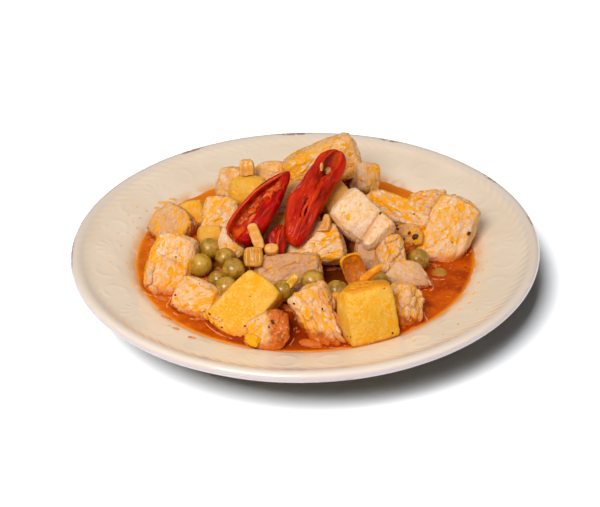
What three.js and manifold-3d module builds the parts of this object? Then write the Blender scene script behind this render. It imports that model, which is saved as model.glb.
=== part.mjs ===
// Chicken saute served in a wide-rimmed soup plate.
// Millimetres, +Z up, +X to the diner's right, the diner sits on the -Y side.
// Origin: centre of the plate's foot, on the table.
import * as THREE from 'three';
import { mergeVertices } from 'three/addons/utils/BufferGeometryUtils.js';
import Module from 'manifold-3d';

const wasm = await Module();
wasm.setup();

// ---------------------------------------------------------------- driving dimensions
const PLATE_RADIUS = 105;
const PLATE_HEIGHT = 28;
const LIP_BEAD = 2.8; // radius of the rolled edge
const WELL_RADIUS = 78; // where the sloping rim turns down into the well
const WELL_SHOULDER = 19.6; // height of that turn
const WELL_FLOOR_RADIUS = 56;
const WELL_FLOOR = 8;
const FOOT_OUTER = 56;
const FOOT_INNER = 51;
const FOOT_RECESS = 2.5;
const PLATE_SIDES = 44;
const SAUCE_LEVEL = 18;
const GAP = 0.35; // left between pieces that touch
const PEA_DIAMETER = 10.4;
const CHILI_WALL = 2.2;
const CHILI_LUMPS = 0.06;
const FURROW_REACH = 0.45; // half width of a groove, as a share of half the face

// ---------------------------------------------------------------- finishes
function finish(name, color, roughness) {
  return new THREE.MeshStandardMaterial({ name, color, roughness, metalness: 0 });
}

const GLAZE = finish('plate_glaze', 0xeedfc4, 0.25);
const SAUCE = finish('sauce', 0xd9600c, 0.2);
const CHICKEN = finish('chicken', 0xeccdaf, 0.5);
const POTATO = finish('potato', 0xf2bf52, 0.55);
const PEA = finish('pea', 0x969032, 0.4);
const CHILI = finish('chili', 0xb81c10, 0.25);
const ONION = finish('onion', 0xefab4a, 0.35);
const CARROT = finish('carrot', 0xee8a1c, 0.4);

// ---------------------------------------------------------------- solids
function bare(geometry) {
  const shape = geometry.clone();
  shape.deleteAttribute('normal');
  shape.deleteAttribute('uv');
  return mergeVertices(shape, 1e-4);
}

function solidOf(geometry) {
  const shape = bare(geometry);
  const index = Array.from(shape.index.array);
  const triVerts = [];
  for (let i = 0; i < index.length; i += 3) {
    const [a, b, c] = index.slice(i, i + 3);
    if (a !== b && b !== c && c !== a) {
      triVerts.push(a, b, c);
    }
  }
  return new wasm.Manifold(
    new wasm.Mesh({
      numProp: 3,
      vertProperties: new Float32Array(shape.attributes.position.array),
      triVerts: new Uint32Array(triVerts),
    }),
  );
}

function geometryOf(solid) {
  const mesh = solid.getMesh();
  const geometry = new THREE.BufferGeometry();
  geometry.setAttribute('position', new THREE.BufferAttribute(mesh.vertProperties, 3));
  geometry.setIndex(new THREE.BufferAttribute(mesh.triVerts, 1));
  geometry.computeVertexNormals();
  return geometry;
}

function largest(solid) {
  return solid.decompose().reduce((best, one) => (one.volume() > best.volume() ? one : best));
}

// The same shape with its whole skin moved outward, for cutting a neighbour clear of it.
function swollen(geometry, distance) {
  const shape = bare(geometry);
  shape.computeVertexNormals();
  const { position, normal } = shape.attributes;
  for (let i = 0; i < position.count; i += 1) {
    position.setXYZ(
      i,
      position.getX(i) + normal.getX(i) * distance,
      position.getY(i) + normal.getY(i) * distance,
      position.getZ(i) + normal.getZ(i) * distance,
    );
  }
  return shape;
}

function seededRandom(seed) {
  let state = (seed * 2654435761) >>> 0;
  return () => {
    state = (state + 0x6d2b79f5) >>> 0;
    let t = Math.imul(state ^ (state >>> 15), 1 | state);
    t = (t + Math.imul(t ^ (t >>> 7), 61 | t)) ^ t;
    return ((t ^ (t >>> 14)) >>> 0) / 4294967296;
  };
}

// A smooth field between about -1 and 1 over a piece, for hand-cut unevenness.
function lumpField(seed) {
  const random = seededRandom(seed);
  const waves = [1.4, 2.1, 2.9, 3.6].map((pace) => ({
    along: new THREE.Vector3(random() - 0.5, random() - 0.5, random() - 0.5).setLength(pace),
    phase: random() * Math.PI * 2,
  }));
  const height = (point, wave) => Math.sin(wave.along.dot(point) * 2 + wave.phase);
  return (point) => waves.reduce((sum, wave) => sum + height(point, wave), 0) / waves.length;
}

// How far out a point lies on rounded squares or cubes: 2 gives round ones, a high power square ones.
function norm(numbers, power) {
  return numbers.reduce((sum, number) => sum + Math.abs(number) ** power, 0) ** (1 / power);
}

// A hand-cut block. Its local +Z face is the one that shows; it is across wide and up tall there,
// flare widens its top and its right side, corner rounds its edges, and groove is a furrow that runs
// up the face, given as its place from -1 to 1 across and its depth.
function block(sizes) {
  const { across, up, deep, seed, flare = [0, 0], groove = [0, 0] } = sizes;
  const { corner = 5, lumps = 0.05, facets = 3 } = sizes;
  const [place, depth] = groove;
  const shape = bare(new THREE.BoxGeometry(2, 2, 2, facets, facets, facets));
  const lump = lumpField(seed);
  const { position } = shape.attributes;
  const point = new THREE.Vector3();
  for (let i = 0; i < position.count; i += 1) {
    point.fromBufferAttribute(position, i);
    point.divideScalar(norm(point.toArray(), corner));
    point.multiplyScalar(1 + lumps * lump(point));
    const furrow = depth * Math.max(0, 1 - Math.abs(point.x - place) / FURROW_REACH);
    position.setXYZ(
      i,
      (point.x * (1 + flare[0] * point.y) * across) / 2,
      (point.y * (1 + flare[1] * point.x) * (up - furrow)) / 2,
      ((point.z - 1) * (deep - furrow)) / 2 - furrow,
    );
  }
  return shape;
}

// A cooked pea: round, a little flattened, with a shallow dent.
function peaShape({ diameter = PEA_DIAMETER, squash = 0.94, dent = 0.06, seed }) {
  const shape = bare(new THREE.IcosahedronGeometry(1, 1));
  const random = seededRandom(seed);
  const dimple = new THREE.Vector3(random() - 0.5, random() - 0.5, random() - 0.5).normalize();
  const size = new THREE.Vector3(1, 1, squash).multiplyScalar(diameter / 2);
  const { position } = shape.attributes;
  const point = new THREE.Vector3();
  for (let i = 0; i < position.count; i += 1) {
    point.fromBufferAttribute(position, i);
    point.multiplyScalar(1 - dent * Math.max(0, point.dot(dimple)) ** 4);
    point.multiply(size);
    position.setXYZ(i, point.x, point.y, point.z);
  }
  return shape;
}

// Half a chili: a curved shell along local X whose mouth looks along local +Z, turned by roll degrees
// about its own length. mouth is the opening's angle at the blunt end, the middle and the tip.
// With hollow false it is the closed horn that the shell would fill.
function chiliShape(sizes) {
  const { long, wide, high, bend, blunt, mouth, seed } = sizes;
  const { full = 0.6, roll = 0, hollow = true, wall = CHILI_WALL, steps = [11, 8] } = sizes;
  const [stations, arc] = steps;
  const loop = arc * 2;
  const rings = stations - 1;
  const lump = lumpField(seed);
  const points = [];
  const index = [];
  for (let s = 1; s < stations; s += 1) {
    const t = (1 - Math.cos((Math.PI * s) / stations)) / 2;
    const girth = Math.sin(Math.PI * t ** blunt) ** full;
    const half = Math.min(Math.floor(t * 2), 1);
    const gape = THREE.MathUtils.degToRad(THREE.MathUtils.lerp(mouth[half], mouth[half + 1], t * 2 - half));
    for (let k = 0; k < loop; k += 1) {
      const inside = hollow && k >= arc;
      const step = inside ? loop - 1 - k : k;
      const round = (2 * Math.PI * k) / loop;
      const cupped = gape / 2 + (step / (arc - 1)) * (2 * Math.PI - gape);
      const angle = Math.PI / 2 + (hollow ? cupped : round);
      const thin = inside ? Math.min(wall, (girth * wide) / 4) : 0;
      const spot = new THREE.Vector3(t * 3, Math.cos(angle), Math.sin(angle));
      const reach = girth * (1 + CHILI_LUMPS * lump(spot));
      points.push(
        (t - 0.5) * long,
        bend * (1 - (2 * t - 1) ** 2) + Math.cos(angle) * ((reach * wide) / 2 - thin),
        Math.sin(angle) * ((reach * high) / 2 - thin),
      );
    }
  }
  points.push(-long / 2, 0, 0, long / 2, 0, 0);
  const stalkEnd = rings * loop;
  const tip = stalkEnd + 1;
  for (let k = 0; k < loop; k += 1) {
    const next = (k + 1) % loop;
    for (let s = 0; s < rings - 1; s += 1) {
      const a = s * loop + k;
      const b = s * loop + next;
      index.push(a, b, a + loop, b, b + loop, a + loop);
    }
    index.push(stalkEnd, next, k);
    index.push(tip, (rings - 1) * loop + k, (rings - 1) * loop + next);
  }
  const shape = new THREE.BufferGeometry();
  shape.setAttribute('position', new THREE.Float32BufferAttribute(points, 3));
  shape.setIndex(index);
  shape.rotateX(THREE.MathUtils.degToRad(roll));
  shape.translate(0, 0, -high / 2);
  return shape;
}

// A thin curved scrap of vegetable: bent by curl degrees across, by cup degrees up, with ribs.
function petal(sizes) {
  const { across, up, thick, curl, cup, ribs = 0, ribDepth = 0, round = 4, steps = [6, 3] } = sizes;
  const [columns, rows] = steps;
  const shape = bare(new THREE.BoxGeometry(2, 2, 2, columns, rows, 1));
  const { position } = shape.attributes;
  const curlAngle = THREE.MathUtils.degToRad(curl) / 2;
  const cupAngle = THREE.MathUtils.degToRad(cup) / 2;
  for (let i = 0; i < position.count; i += 1) {
    const [x, y, w] = [position.getX(i), position.getY(i), position.getZ(i)];
    const trim = Math.max(Math.abs(x), Math.abs(y)) / (norm([x, y], round) || 1);
    const u = x * trim;
    const v = y * trim;
    const depth = (w * thick * (1 - 0.3 * u * u) * (1 - 0.3 * v * v)) / 2;
    const curlRadius = across / 2 / curlAngle - depth;
    const cupRadius = up / 2 / cupAngle - depth;
    const rib = ribDepth * Math.cos(Math.PI * ribs * u);
    position.setXYZ(
      i,
      curlRadius * Math.sin(u * curlAngle),
      cupRadius * Math.sin(v * cupAngle),
      curlRadius * (1 - Math.cos(u * curlAngle)) + cupRadius * (1 - Math.cos(v * cupAngle)) + depth * 2 + rib,
    );
  }
  return shape;
}

// ---------------------------------------------------------------- plate and sauce
function wellHeight(radius) {
  const t = THREE.MathUtils.clamp((radius - WELL_FLOOR_RADIUS) / (WELL_RADIUS - WELL_FLOOR_RADIUS), 0, 1);
  return WELL_FLOOR + (WELL_SHOULDER - WELL_FLOOR) * t ** 1.7;
}

function lathe(profile) {
  const points = profile.map(([radius, height]) => new THREE.Vector2(radius, height));
  const shape = new THREE.LatheGeometry(points, PLATE_SIDES);
  shape.rotateX(Math.PI / 2);
  return geometryOf(solidOf(shape));
}

function plateShape() {
  const beadCentre = [PLATE_RADIUS - LIP_BEAD, PLATE_HEIGHT - LIP_BEAD];
  const bead = [-60, -15, 30, 75, 120].map((degrees) => {
    const angle = THREE.MathUtils.degToRad(degrees);
    return [beadCentre[0] + LIP_BEAD * Math.cos(angle), beadCentre[1] + LIP_BEAD * Math.sin(angle)];
  });
  const well = [1, 0.7, 0.35, 0].map((t) => {
    const radius = THREE.MathUtils.lerp(WELL_FLOOR_RADIUS, WELL_RADIUS, t);
    return [radius, wellHeight(radius)];
  });
  return lathe([
    [0, FOOT_RECESS],
    [FOOT_INNER, FOOT_RECESS],
    [FOOT_INNER + 0.8, 0],
    [FOOT_OUTER - 0.8, 0],
    [FOOT_OUTER, 2.6],
    [64, 5.6],
    [80, 15],
    ...bead,
    [97.5, 25.1],
    [84, 21.6],
    ...well,
    [0, WELL_FLOOR],
  ]);
}

// A level disc that fills the well; the plate's wall and the pieces are cut out of it later.
function sauceShape() {
  const bottom = WELL_FLOOR + GAP;
  return lathe([
    [0, bottom],
    [WELL_RADIUS, bottom],
    [WELL_RADIUS, SAUCE_LEVEL],
    [0, SAUCE_LEVEL],
  ]);
}

// ---------------------------------------------------------------- pieces
// mould is the shape that presses into the neighbours, where it isn't the piece's own.
function piece(name, material, shape, { front, face = [0, 90], spin = 0 }, mould = shape) {
  return { name, material, shape, mould, front, face, spin };
}

const chicken = (name, sizes) => piece(`chicken_${name}`, CHICKEN, block(sizes), sizes);
const potato = (name, sizes) =>
  piece(`potato_${name}`, POTATO, block({ corner: 8, lumps: 0.03, ...sizes }), sizes);
const pea = (name, sizes) => piece(`pea_${name}`, PEA, peaShape(sizes), sizes);
const chili = (name, sizes) =>
  piece(`chili_${name}`, CHILI, chiliShape(sizes), sizes, chiliShape({ ...sizes, hollow: false }));
const onion = (name, sizes) => piece(`onion_${name}`, ONION, petal(sizes), sizes);
const carrot = (name, sizes) => piece(`carrot_${name}`, CARROT, petal(sizes), sizes);

// From the top of the heap down: each piece is pressed into shape by those listed before it.
// front is the middle of the face that shows, face the azimuth and elevation that it looks along.
const heap = [
  chili('half_right', {
    front: [6, -3.5, 51.5], face: [5, 57], spin: 62, long: 52, wide: 19, high: 12, bend: 2, blunt: 1.05,
    full: 0.4, mouth: [14, 24, 90], roll: 8, seed: 2,
  }),
  chili('half_left', {
    front: [-20, -6, 48.5], face: [-12, 48], spin: 62, long: 40, wide: 22, high: 13, bend: 1, blunt: 0.55,
    mouth: [60, 50, 30], roll: -35, seed: 1,
  }),
  onion('on_chili', {
    front: [-21.1, -18.6, 38.3], face: [0, 30], spin: 20, across: 5, up: 12, thick: 1.4, curl: 40, cup: 20,
  }),
  onion('ribbed', {
    front: [-22.2, -25.8, 32.3], face: [-10, 40], spin: 5, across: 9, up: 9, thick: 1.6, curl: 60,
    cup: 20, ribs: 3, ribDepth: 0.4,
  }),
  onion('on_chicken', {
    front: [8, -11, 39.5], face: [-20, 50], spin: 10, across: 7, up: 7, thick: 1.6, curl: 60, cup: 30,
  }),
  chicken('white_cube', {
    front: [25, -16, 46], face: [-6, 42], spin: -42, across: 26, up: 19, deep: 17, groove: [0.45, 2.2],
    seed: 3, facets: 4,
  }),
  chicken('under_chili', {
    front: [5, -16, 35], face: [-5, 45], spin: -4, across: 24, up: 18, deep: 14, flare: [-0.28, 0], seed: 4,
  }),
  chicken('top_back', {
    front: [10, 35, 44.2], face: [10, 25], spin: 10, across: 36.5, up: 19, deep: 22, flare: [0, 0.3],
    seed: 13, facets: 4,
  }),
  potato('shaded', {
    front: [15, 6, 42], face: [0, 45], spin: 35, across: 15, up: 15, deep: 14, seed: 20,
  }),
  potato('behind_chili', {
    front: [-26, 26, 38], face: [-10, 45], spin: 5, across: 19, up: 15, deep: 15, corner: 3, seed: 21,
  }),
  onion('standing', {
    front: [-26, 34, 44], face: [0, 20], spin: 0, across: 7, up: 8, thick: 2.4, curl: 60, cup: 10, ribs: 2,
    ribDepth: 0.3,
  }),
  chicken('far_left', {
    front: [-35, 38, 34], face: [-20, 35], spin: 0, across: 14, up: 16, deep: 14, seed: 22,
  }),
  chicken('far_middle', {
    front: [-14, 40, 36.5], face: [0, 35], spin: 0, across: 18, up: 14, deep: 14, seed: 23,
  }),
  chicken('centre_left', {
    front: [-38, 6, 36], face: [-5, 45], spin: -5, across: 17, up: 18, deep: 20, seed: 24,
  }),
  chicken('below_chili', {
    front: [-32, -13, 32], face: [0, 35], spin: -10, across: 12, up: 14, deep: 12, seed: 25,
  }),
  chicken('right_top', {
    front: [31, 32, 39], face: [20, 35], spin: -15, across: 12, up: 14, deep: 16, seed: 26,
  }),
  chicken('right_long', {
    front: [42.5, 7, 36.5], face: [0, 50], spin: -25, across: 32, up: 12, deep: 12, seed: 15,
  }),
  chicken('right_flaky', {
    front: [58, 20, 33], face: [0, 50], spin: 5, across: 20, up: 12, deep: 18, seed: 16,
  }),
  chicken('right_large', {
    front: [62.6, -0.5, 29.5], face: [-6, 45], spin: -24, across: 20, up: 35, deep: 15, seed: 14,
  }),
  chicken('right_middle', {
    front: [38, -24, 32], face: [15, 35], spin: 0, across: 13, up: 16, deep: 14, seed: 17,
  }),
  chicken('right_wedge', {
    front: [43, -31, 26], face: [10, 45], spin: -10, across: 17, up: 11, deep: 12, flare: [-0.3, 0], seed: 18,
  }),
  chicken('right_inner', {
    front: [28, -23, 30], face: [0, 35], spin: 0, across: 12, up: 14, deep: 12, seed: 27,
  }),
  chicken('peppered', {
    front: [47, -4, 29], face: [0, 40], spin: 0, across: 12, up: 10, deep: 12, seed: 28,
  }),
  carrot('strip', {
    front: [27, -47.5, 36.5], face: [0, 50], spin: 35, across: 12, up: 3.2, thick: 1.6, curl: 30, cup: 10,
    steps: [4, 2],
  }),
  carrot('curl', {
    front: [20.1, -33.9, 29.6], face: [15, 35], spin: 10, across: 13, up: 16, thick: 1.8, curl: 110,
    cup: 90, round: 2.4,
  }),
  potato('front_right', {
    front: [27, -68, 29], face: [18, 22], across: 22, up: 26, deep: 20, flare: [-0.04, 0], seed: 5,
  }),
  potato('front_left', {
    front: [-26, -54, 27.5], face: [-8, 50], spin: -37, across: 20, up: 29, deep: 15, flare: [-0.1, 0],
    seed: 6,
  }),
  chicken('front_middle', {
    front: [4.5, -65, 26], face: [-12, 40], spin: 32, across: 15, up: 31, deep: 14, flare: [0.25, 0], seed: 7,
  }),
  chicken('front_small', {
    front: [-15.5, -70, 24], face: [-10, 40], spin: 26, across: 18, up: 17, deep: 14, seed: 8,
  }),
  potato('scrap', {
    front: [12, -53, 26], face: [0, 30], spin: 0, across: 5, up: 8, deep: 6, seed: 29, facets: 2,
  }),
  chicken('front_far_right', {
    front: [44, -56, 25], face: [30, 25], spin: -15, across: 13, up: 18, deep: 14, seed: 9,
  }),
  chicken('left_front', {
    front: [-48, -44, 24.5], face: [-20, 42], spin: -14, across: 20, up: 16, deep: 14, seed: 10,
  }),
  chicken('left_round', {
    front: [-59, -24, 28.5], face: [-12, 40], spin: -9, across: 18, up: 29, deep: 15, seed: 11,
  }),
  pea('left_back', { front: [-42, -11, 28], seed: 31 }),
  pea('left_front', { front: [-46, -21, 26], diameter: 11, seed: 32 }),
  pea('left_middle', { front: [-35, -17, 27], diameter: 9.5, seed: 33 }),
  pea('left_low', { front: [-31, -27, 27], seed: 34 }),
  pea('left_near', { front: [-34, -37, 24], seed: 35 }),
  pea('left_hidden', { front: [-38, -27, 22], diameter: 9, seed: 36 }),
  pea('middle_left', { front: [-10, -40, 24], seed: 37 }),
  pea('middle', { front: [3, -36.8, 26.7], diameter: 10.6, seed: 38 }),
  pea('middle_right', { front: [13, -43, 25], seed: 39 }),
  pea('wrinkled', { front: [31.1, -36.2, 24.8], diameter: 9.8, dent: 0.2, seed: 40 }),
  pea('right', { front: [50, -15, 22.4], seed: 41 }),
  pea('sunk', { front: [59, -19, 14.5], seed: 42 }),
  chicken('centre', {
    front: [-7.5, -31.8, 26.1], face: [0, 45], spin: 0, across: 29.5, up: 22, deep: 15, seed: 43,
  }),
  chili('scrap', {
    front: [-11, -20.5, 38.5], face: [10, 40], spin: 70, long: 14, wide: 7, high: 5, bend: 1, blunt: 0.9,
    mouth: [60, 60, 60], wall: 1.4, steps: [6, 5], seed: 44,
  }),
  onion('yellow', {
    front: [-14.5, -22.7, 34.2], face: [0, 45], spin: 0, across: 7, up: 5, thick: 2.6, curl: 40, cup: 40,
    round: 2.5, steps: [4, 2],
  }),
  onion('skin', {
    front: [-6, -40.5, 28.7], face: [-10, 35], spin: -35, across: 4, up: 8, thick: 1.2, curl: 50, cup: 30,
  }),
  chicken('left_back', {
    front: [-62, 15, 27], face: [-15, 50], spin: -30, across: 19, up: 18, deep: 14, seed: 12,
  }),
  potato('left_back', {
    front: [-53, 25, 26], face: [-15, 45], spin: 20, across: 13, up: 13, deep: 13, corner: 4, seed: 45,
  }),
  potato('centre_left', {
    front: [-42, -3, 31], face: [0, 40], spin: 0, across: 11, up: 8, deep: 10, corner: 5, seed: 46,
  }),
  chicken('inside_top', {
    front: [-9, 7, 38.5], face: [0, 60], spin: 20, across: 34, up: 27, deep: 21, seed: 51, facets: 2,
  }),
  chicken('inside_back', {
    front: [8, 50, 30], face: [180, 50], spin: 10, across: 34, up: 24, deep: 22, seed: 52, facets: 2,
  }),
  chicken('back_left', {
    front: [-28, 52, 24], face: [-150, 50], spin: 0, across: 28, up: 24, deep: 18, seed: 53, facets: 2,
  }),
  chicken('back_right', {
    front: [40, 42, 24], face: [140, 50], spin: 0, across: 24, up: 22, deep: 18, seed: 54,
  }),
  chicken('inside_right', {
    front: [34, 0, 27], face: [0, 90], spin: 15, across: 30, up: 28, deep: 16, seed: 55, facets: 2,
  }),
  chicken('inside_left', {
    front: [-40, -16, 21], face: [0, 90], spin: 0, across: 28, up: 34, deep: 12, seed: 56, facets: 2,
  }),
];

// ---------------------------------------------------------------- assembly
function placement({ front, face, spin }) {
  const [azimuth, elevation] = face.map(THREE.MathUtils.degToRad);
  const out = new THREE.Vector3(
    Math.sin(azimuth) * Math.cos(elevation),
    -Math.cos(azimuth) * Math.cos(elevation),
    Math.sin(elevation),
  );
  const right = new THREE.Vector3(Math.cos(azimuth), Math.sin(azimuth), 0);
  const upward = new THREE.Vector3().crossVectors(out, right);
  const turn = new THREE.Matrix4().makeBasis(right, upward, out);
  turn.multiply(new THREE.Matrix4().makeRotationZ(THREE.MathUtils.degToRad(spin)));
  return turn.setPosition(...front);
}

function overlapping(one, other) {
  const a = one.boundingBox();
  const b = other.boundingBox();
  return [0, 1, 2].every((axis) => a.min[axis] < b.max[axis] && b.min[axis] < a.max[axis]);
}

function cutClear(solid, neighbours) {
  const near = neighbours.filter((other) => overlapping(solid, other));
  return near.reduce((left, other) => left.subtract(other), solid);
}

function meshOf(name, material, solid, matrix) {
  const geometry = geometryOf(solid);
  geometry.applyMatrix4(matrix.clone().invert());
  geometry.computeVertexNormals();
  const mesh = new THREE.Mesh(geometry, material.clone());
  mesh.name = name;
  matrix.decompose(mesh.position, mesh.quaternion, mesh.scale);
  return mesh;
}

const group = new THREE.Group();
const level = new THREE.Matrix4();
const plate = solidOf(plateShape());
group.add(meshOf('plate', GLAZE, plate, level));

const plateCutter = solidOf(swollen(plateShape(), GAP));
const cutters = [];
for (const { name, material, shape, mould, ...lie } of heap) {
  const matrix = placement(lie);
  const whole = solidOf(shape.clone().applyMatrix4(matrix));
  const fitted = largest(cutClear(whole, [plateCutter, ...cutters]));
  group.add(meshOf(name, material, fitted, matrix));
  cutters.push(solidOf(swollen(mould, GAP).applyMatrix4(matrix)));
}

const pool = solidOf(sauceShape());
group.add(meshOf('sauce', SAUCE, largest(cutClear(pool, [plateCutter, ...cutters])), level));

export default group;
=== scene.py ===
# %% [markdown]
# # Chicken saute in a soup plate
# The real thing is a helping of poached chicken and boiled potato cut into cubes, with peas, scraps of
# onion and carrot and two halved red chilies, heaped in an orange, oily cooking liquor in a cream-glazed
# plate with a wide rim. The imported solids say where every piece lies. This lesson gives each of them its
# surface: fibres, crumb, skins, wet gloss and stains. All lengths below are in millimetres, and turn into
# metres only when a mesh is written.

# %% Open the frame
import itertools
import math

import bpy
import numpy as np
from mathutils import Matrix, Quaternion, Vector
from mathutils.bvhtree import BVHTree


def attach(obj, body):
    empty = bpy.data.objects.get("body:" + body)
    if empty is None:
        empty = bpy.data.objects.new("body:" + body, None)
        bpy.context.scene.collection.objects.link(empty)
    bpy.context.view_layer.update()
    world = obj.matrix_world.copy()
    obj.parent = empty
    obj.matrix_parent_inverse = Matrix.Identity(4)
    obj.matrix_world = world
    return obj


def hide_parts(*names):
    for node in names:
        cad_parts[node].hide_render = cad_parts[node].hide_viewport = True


MM = 0.001
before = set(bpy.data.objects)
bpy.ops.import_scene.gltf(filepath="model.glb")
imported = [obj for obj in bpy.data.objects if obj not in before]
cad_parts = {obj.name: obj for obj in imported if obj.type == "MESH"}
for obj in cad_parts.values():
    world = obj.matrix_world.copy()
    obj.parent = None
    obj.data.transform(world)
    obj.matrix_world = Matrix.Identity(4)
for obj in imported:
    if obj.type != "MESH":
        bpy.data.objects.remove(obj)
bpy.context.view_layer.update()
scene = bpy.context.scene

# %% [markdown]
# ## Camera
# The picture looks down on the plate at about 32 degrees from a little over half a metre, with a slight
# lean to the left. A long lens keeps the far rim nearly as wide as the near one. The camera is made first,
# because some specks further on are placed by the spot in the picture where they show.

# %% Set the camera
VIEW_DISTANCE = 600
VIEW_ELEVATION = math.radians(31.74)
VIEW_TARGET = Vector((-2.23, -0.43, 18))
VIEW_ROLL = math.radians(-1.22)
VIEW_LENS = 79.6
PICTURE_WIDTH = 600
PICTURE_HEIGHT = 507
SENSOR = 36



def put(name, data):
    """Sets a new thing into the scene."""
    thing = bpy.data.objects.new(name, data)
    scene.collection.objects.link(thing)
    return thing


toward_eye = Vector((0, -math.cos(VIEW_ELEVATION), math.sin(VIEW_ELEVATION)))
eye = VIEW_TARGET + toward_eye * VIEW_DISTANCE
turn = (-toward_eye).to_track_quat("-Z", "Y") @ Quaternion((0, 0, 1), VIEW_ROLL)
camera = put("camera", bpy.data.cameras.new("camera"))
camera.data.lens = VIEW_LENS
camera.data.sensor_width = SENSOR
camera.data.clip_start = 0.01
camera.rotation_mode = "QUATERNION"
camera.rotation_quaternion = turn
camera.location = eye * MM
scene.camera = camera
VIEW_RIGHT = turn @ Vector((1, 0, 0))
VIEW_UP = turn @ Vector((0, 1, 0))
print("eye at", [round(v) for v in eye], "mm")


def sight(across, down):
    """The direction in which the eye sees a spot of the picture, given in its pixels."""
    per_pixel = SENSOR / VIEW_LENS / PICTURE_WIDTH
    ray = -toward_eye + VIEW_RIGHT * (across - PICTURE_WIDTH / 2) * per_pixel
    return (ray - VIEW_UP * (down - PICTURE_HEIGHT / 2) * per_pixel).normalized()


# %% [markdown]
# ## Meshes as arrays
# Thousands of points move at once when a surface gets its crumb, so the points of a mesh are read into a
# table, changed there and written back. These few helpers do that, always in millimetres.

# %% Read and write meshes


def read(thing, what):
    flat = np.empty(len(thing.data.vertices) * 3)
    thing.data.vertices.foreach_get(what, flat)
    return flat.reshape(-1, 3)


def points_of(thing):
    return read(thing, "co") / MM


def normals_of(thing):
    return read(thing, "normal")


def move_points(thing, points):
    thing.data.vertices.foreach_set("co", (points * MM).ravel())
    thing.data.update()


def new_thing(name, points, faces):
    mesh = bpy.data.meshes.new(name)
    mesh.from_pydata((np.asarray(points) * MM).tolist(), [], faces)
    mesh.shade_smooth()
    return put(name, mesh)


def paint(thing, name, values):
    """Keeps a number, or three, at every point for the materials to read. One number covers all points."""
    values = np.asarray(values, np.float32)
    if values.ndim == 0:
        values = np.full(len(thing.data.vertices), values)
    kind = "FLOAT" if values.ndim == 1 else "FLOAT_VECTOR"
    layer = thing.data.attributes.new(name, kind, "POINT")
    layer.data.foreach_set("value" if values.ndim == 1 else "vector", values.ravel())


def stands_for(thing, slot, material, *nodes):
    """The thing rides on the one body, takes over those solids and gets its finish."""
    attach(thing, "root")
    if nodes:
        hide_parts(*nodes)
    thing.data.materials.clear()
    thing.data.materials.append(material)
    return thing


print("the plate's solid has", len(points_of(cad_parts["plate"])), "points")

# %% [markdown]
# ## Unevenness
# Food is never smooth, yet its lumps have a size: a fibre, a crumb, a dent. A lattice of repeatable random
# numbers, blended between its points, gives lumps of any size, the same ones at every run. Stretching the
# space before asking gives streaks instead of lumps.

# %% Make lumps of a given size


def smooth_step(low, high, value):
    t = np.clip((value - low) / (high - low), 0, 1)
    return t * t * (3 - 2 * t)


# Large primes scatter the numbers of cells that lie side by side.
AXIS_PRIMES = (73856093, 19349663, 83492791)
SEED_PRIME = 6542989
STIR_PRIMES = ((13, 1274126177), (11, 668265263))


def lattice(cell, seed):
    """A repeatable random number from 0 to 1 for every cell."""
    mixed = seed * SEED_PRIME
    for axis, prime in enumerate(AXIS_PRIMES):
        mixed = mixed ^ cell[:, axis] * prime
    for shift, prime in STIR_PRIMES:
        mixed = (mixed ^ (mixed >> shift)) * prime & 0x7FFFFFFF
    return ((mixed >> 9) & 0xFFFF) / 0xFFFF


def lumps(points, size, seed, octaves=1):
    """From -1 to 1 over the points, in lumps of that size, each octave half as large and as strong."""
    total = 0
    for octave in range(octaves):
        place = points * 2**octave / size + 31.7
        cell = np.floor(place).astype(np.int64)
        part = place - cell
        part = part * part * (3 - 2 * part)
        value = 0
        for corner in itertools.product((0, 1), repeat=3):
            share = np.prod(np.where(corner, part, 1 - part), axis=1)
            value = value + share * lattice(cell + corner, seed * 17 + octave)
        total = total + (value * 2 - 1) / 2**octave
    return total / (2 - 2 ** (1 - octaves))


def drift(points, size, seed, octaves=1):
    """Three such numbers for every point, to push it about."""
    return np.stack([lumps(points, size, seed + axis, octaves) for axis in range(3)], axis=1)


def random_way(draw):
    way = draw.normal(size=3)
    return way / np.linalg.norm(way)


def flakes(points, size, seed):
    """Splits the space into uneven blocks of about that size. For every point: how far it is from the gap
    between two blocks, a number from 0 to 1 that its block keeps, and how high it lies on a slope that
    its block leans to."""
    place = points / size + 57.3
    cell = np.floor(place).astype(np.int64)
    nearest, second = np.full(len(points), 9.0), np.full(len(points), 9.0)
    mark, slope = np.zeros(len(points)), np.zeros(len(points))
    for corner in itertools.product((-1, 0, 1), repeat=3):
        block = cell + corner
        draws = np.stack([lattice(block, seed * 13 + axis) for axis in range(7)], axis=1)
        away = place - (block + 0.1 + 0.8 * draws[:, :3])
        far = np.linalg.norm(away, axis=1)
        closer = far < nearest
        second = np.where(closer, nearest, np.minimum(second, far))
        mark = np.where(closer, draws[:, 3], mark)
        slope = np.where(closer, ((draws[:, 4:] * 2 - 1) * away).sum(1), slope)
        nearest = np.where(closer, far, nearest)
    return second - nearest, mark, slope


print("lumps at the plate's middle:", lumps(np.zeros((1, 3)), 4.0, 1).round(3))

# %% [markdown]
# ## Shader building blocks
# A finish is a small network of nodes. One helper adds a node and connects it, a few more name the steps
# that come back in every finish: reading a painted number, spreading a range, mixing two colours. Colours
# are written as a picture editor shows them and turned into the light values that the renderer uses.

# %% Wire nodes together


def colour(red, green, blue):
    """A colour from 0 to 255 a channel, as light values."""
    light = [v / 255 for v in (red, green, blue)]
    return (*[v / 12.92 if v <= 0.04045 else ((v + 0.055) / 1.055) ** 2.4 for v in light], 1)


def feed(tree, socket, value):
    """Sets a socket to a value, or to what another socket gives."""
    if isinstance(value, bpy.types.NodeSocket):
        tree.links.new(value, socket)
    else:
        socket.default_value = value


def wire(tree, kind, inputs=None, **settings):
    node = tree.nodes.new(kind)
    for name, value in settings.items():
        setattr(node, name, value)
    for name, value in (inputs or {}).items():
        feed(tree, node.inputs[name], value)
    return node


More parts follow.
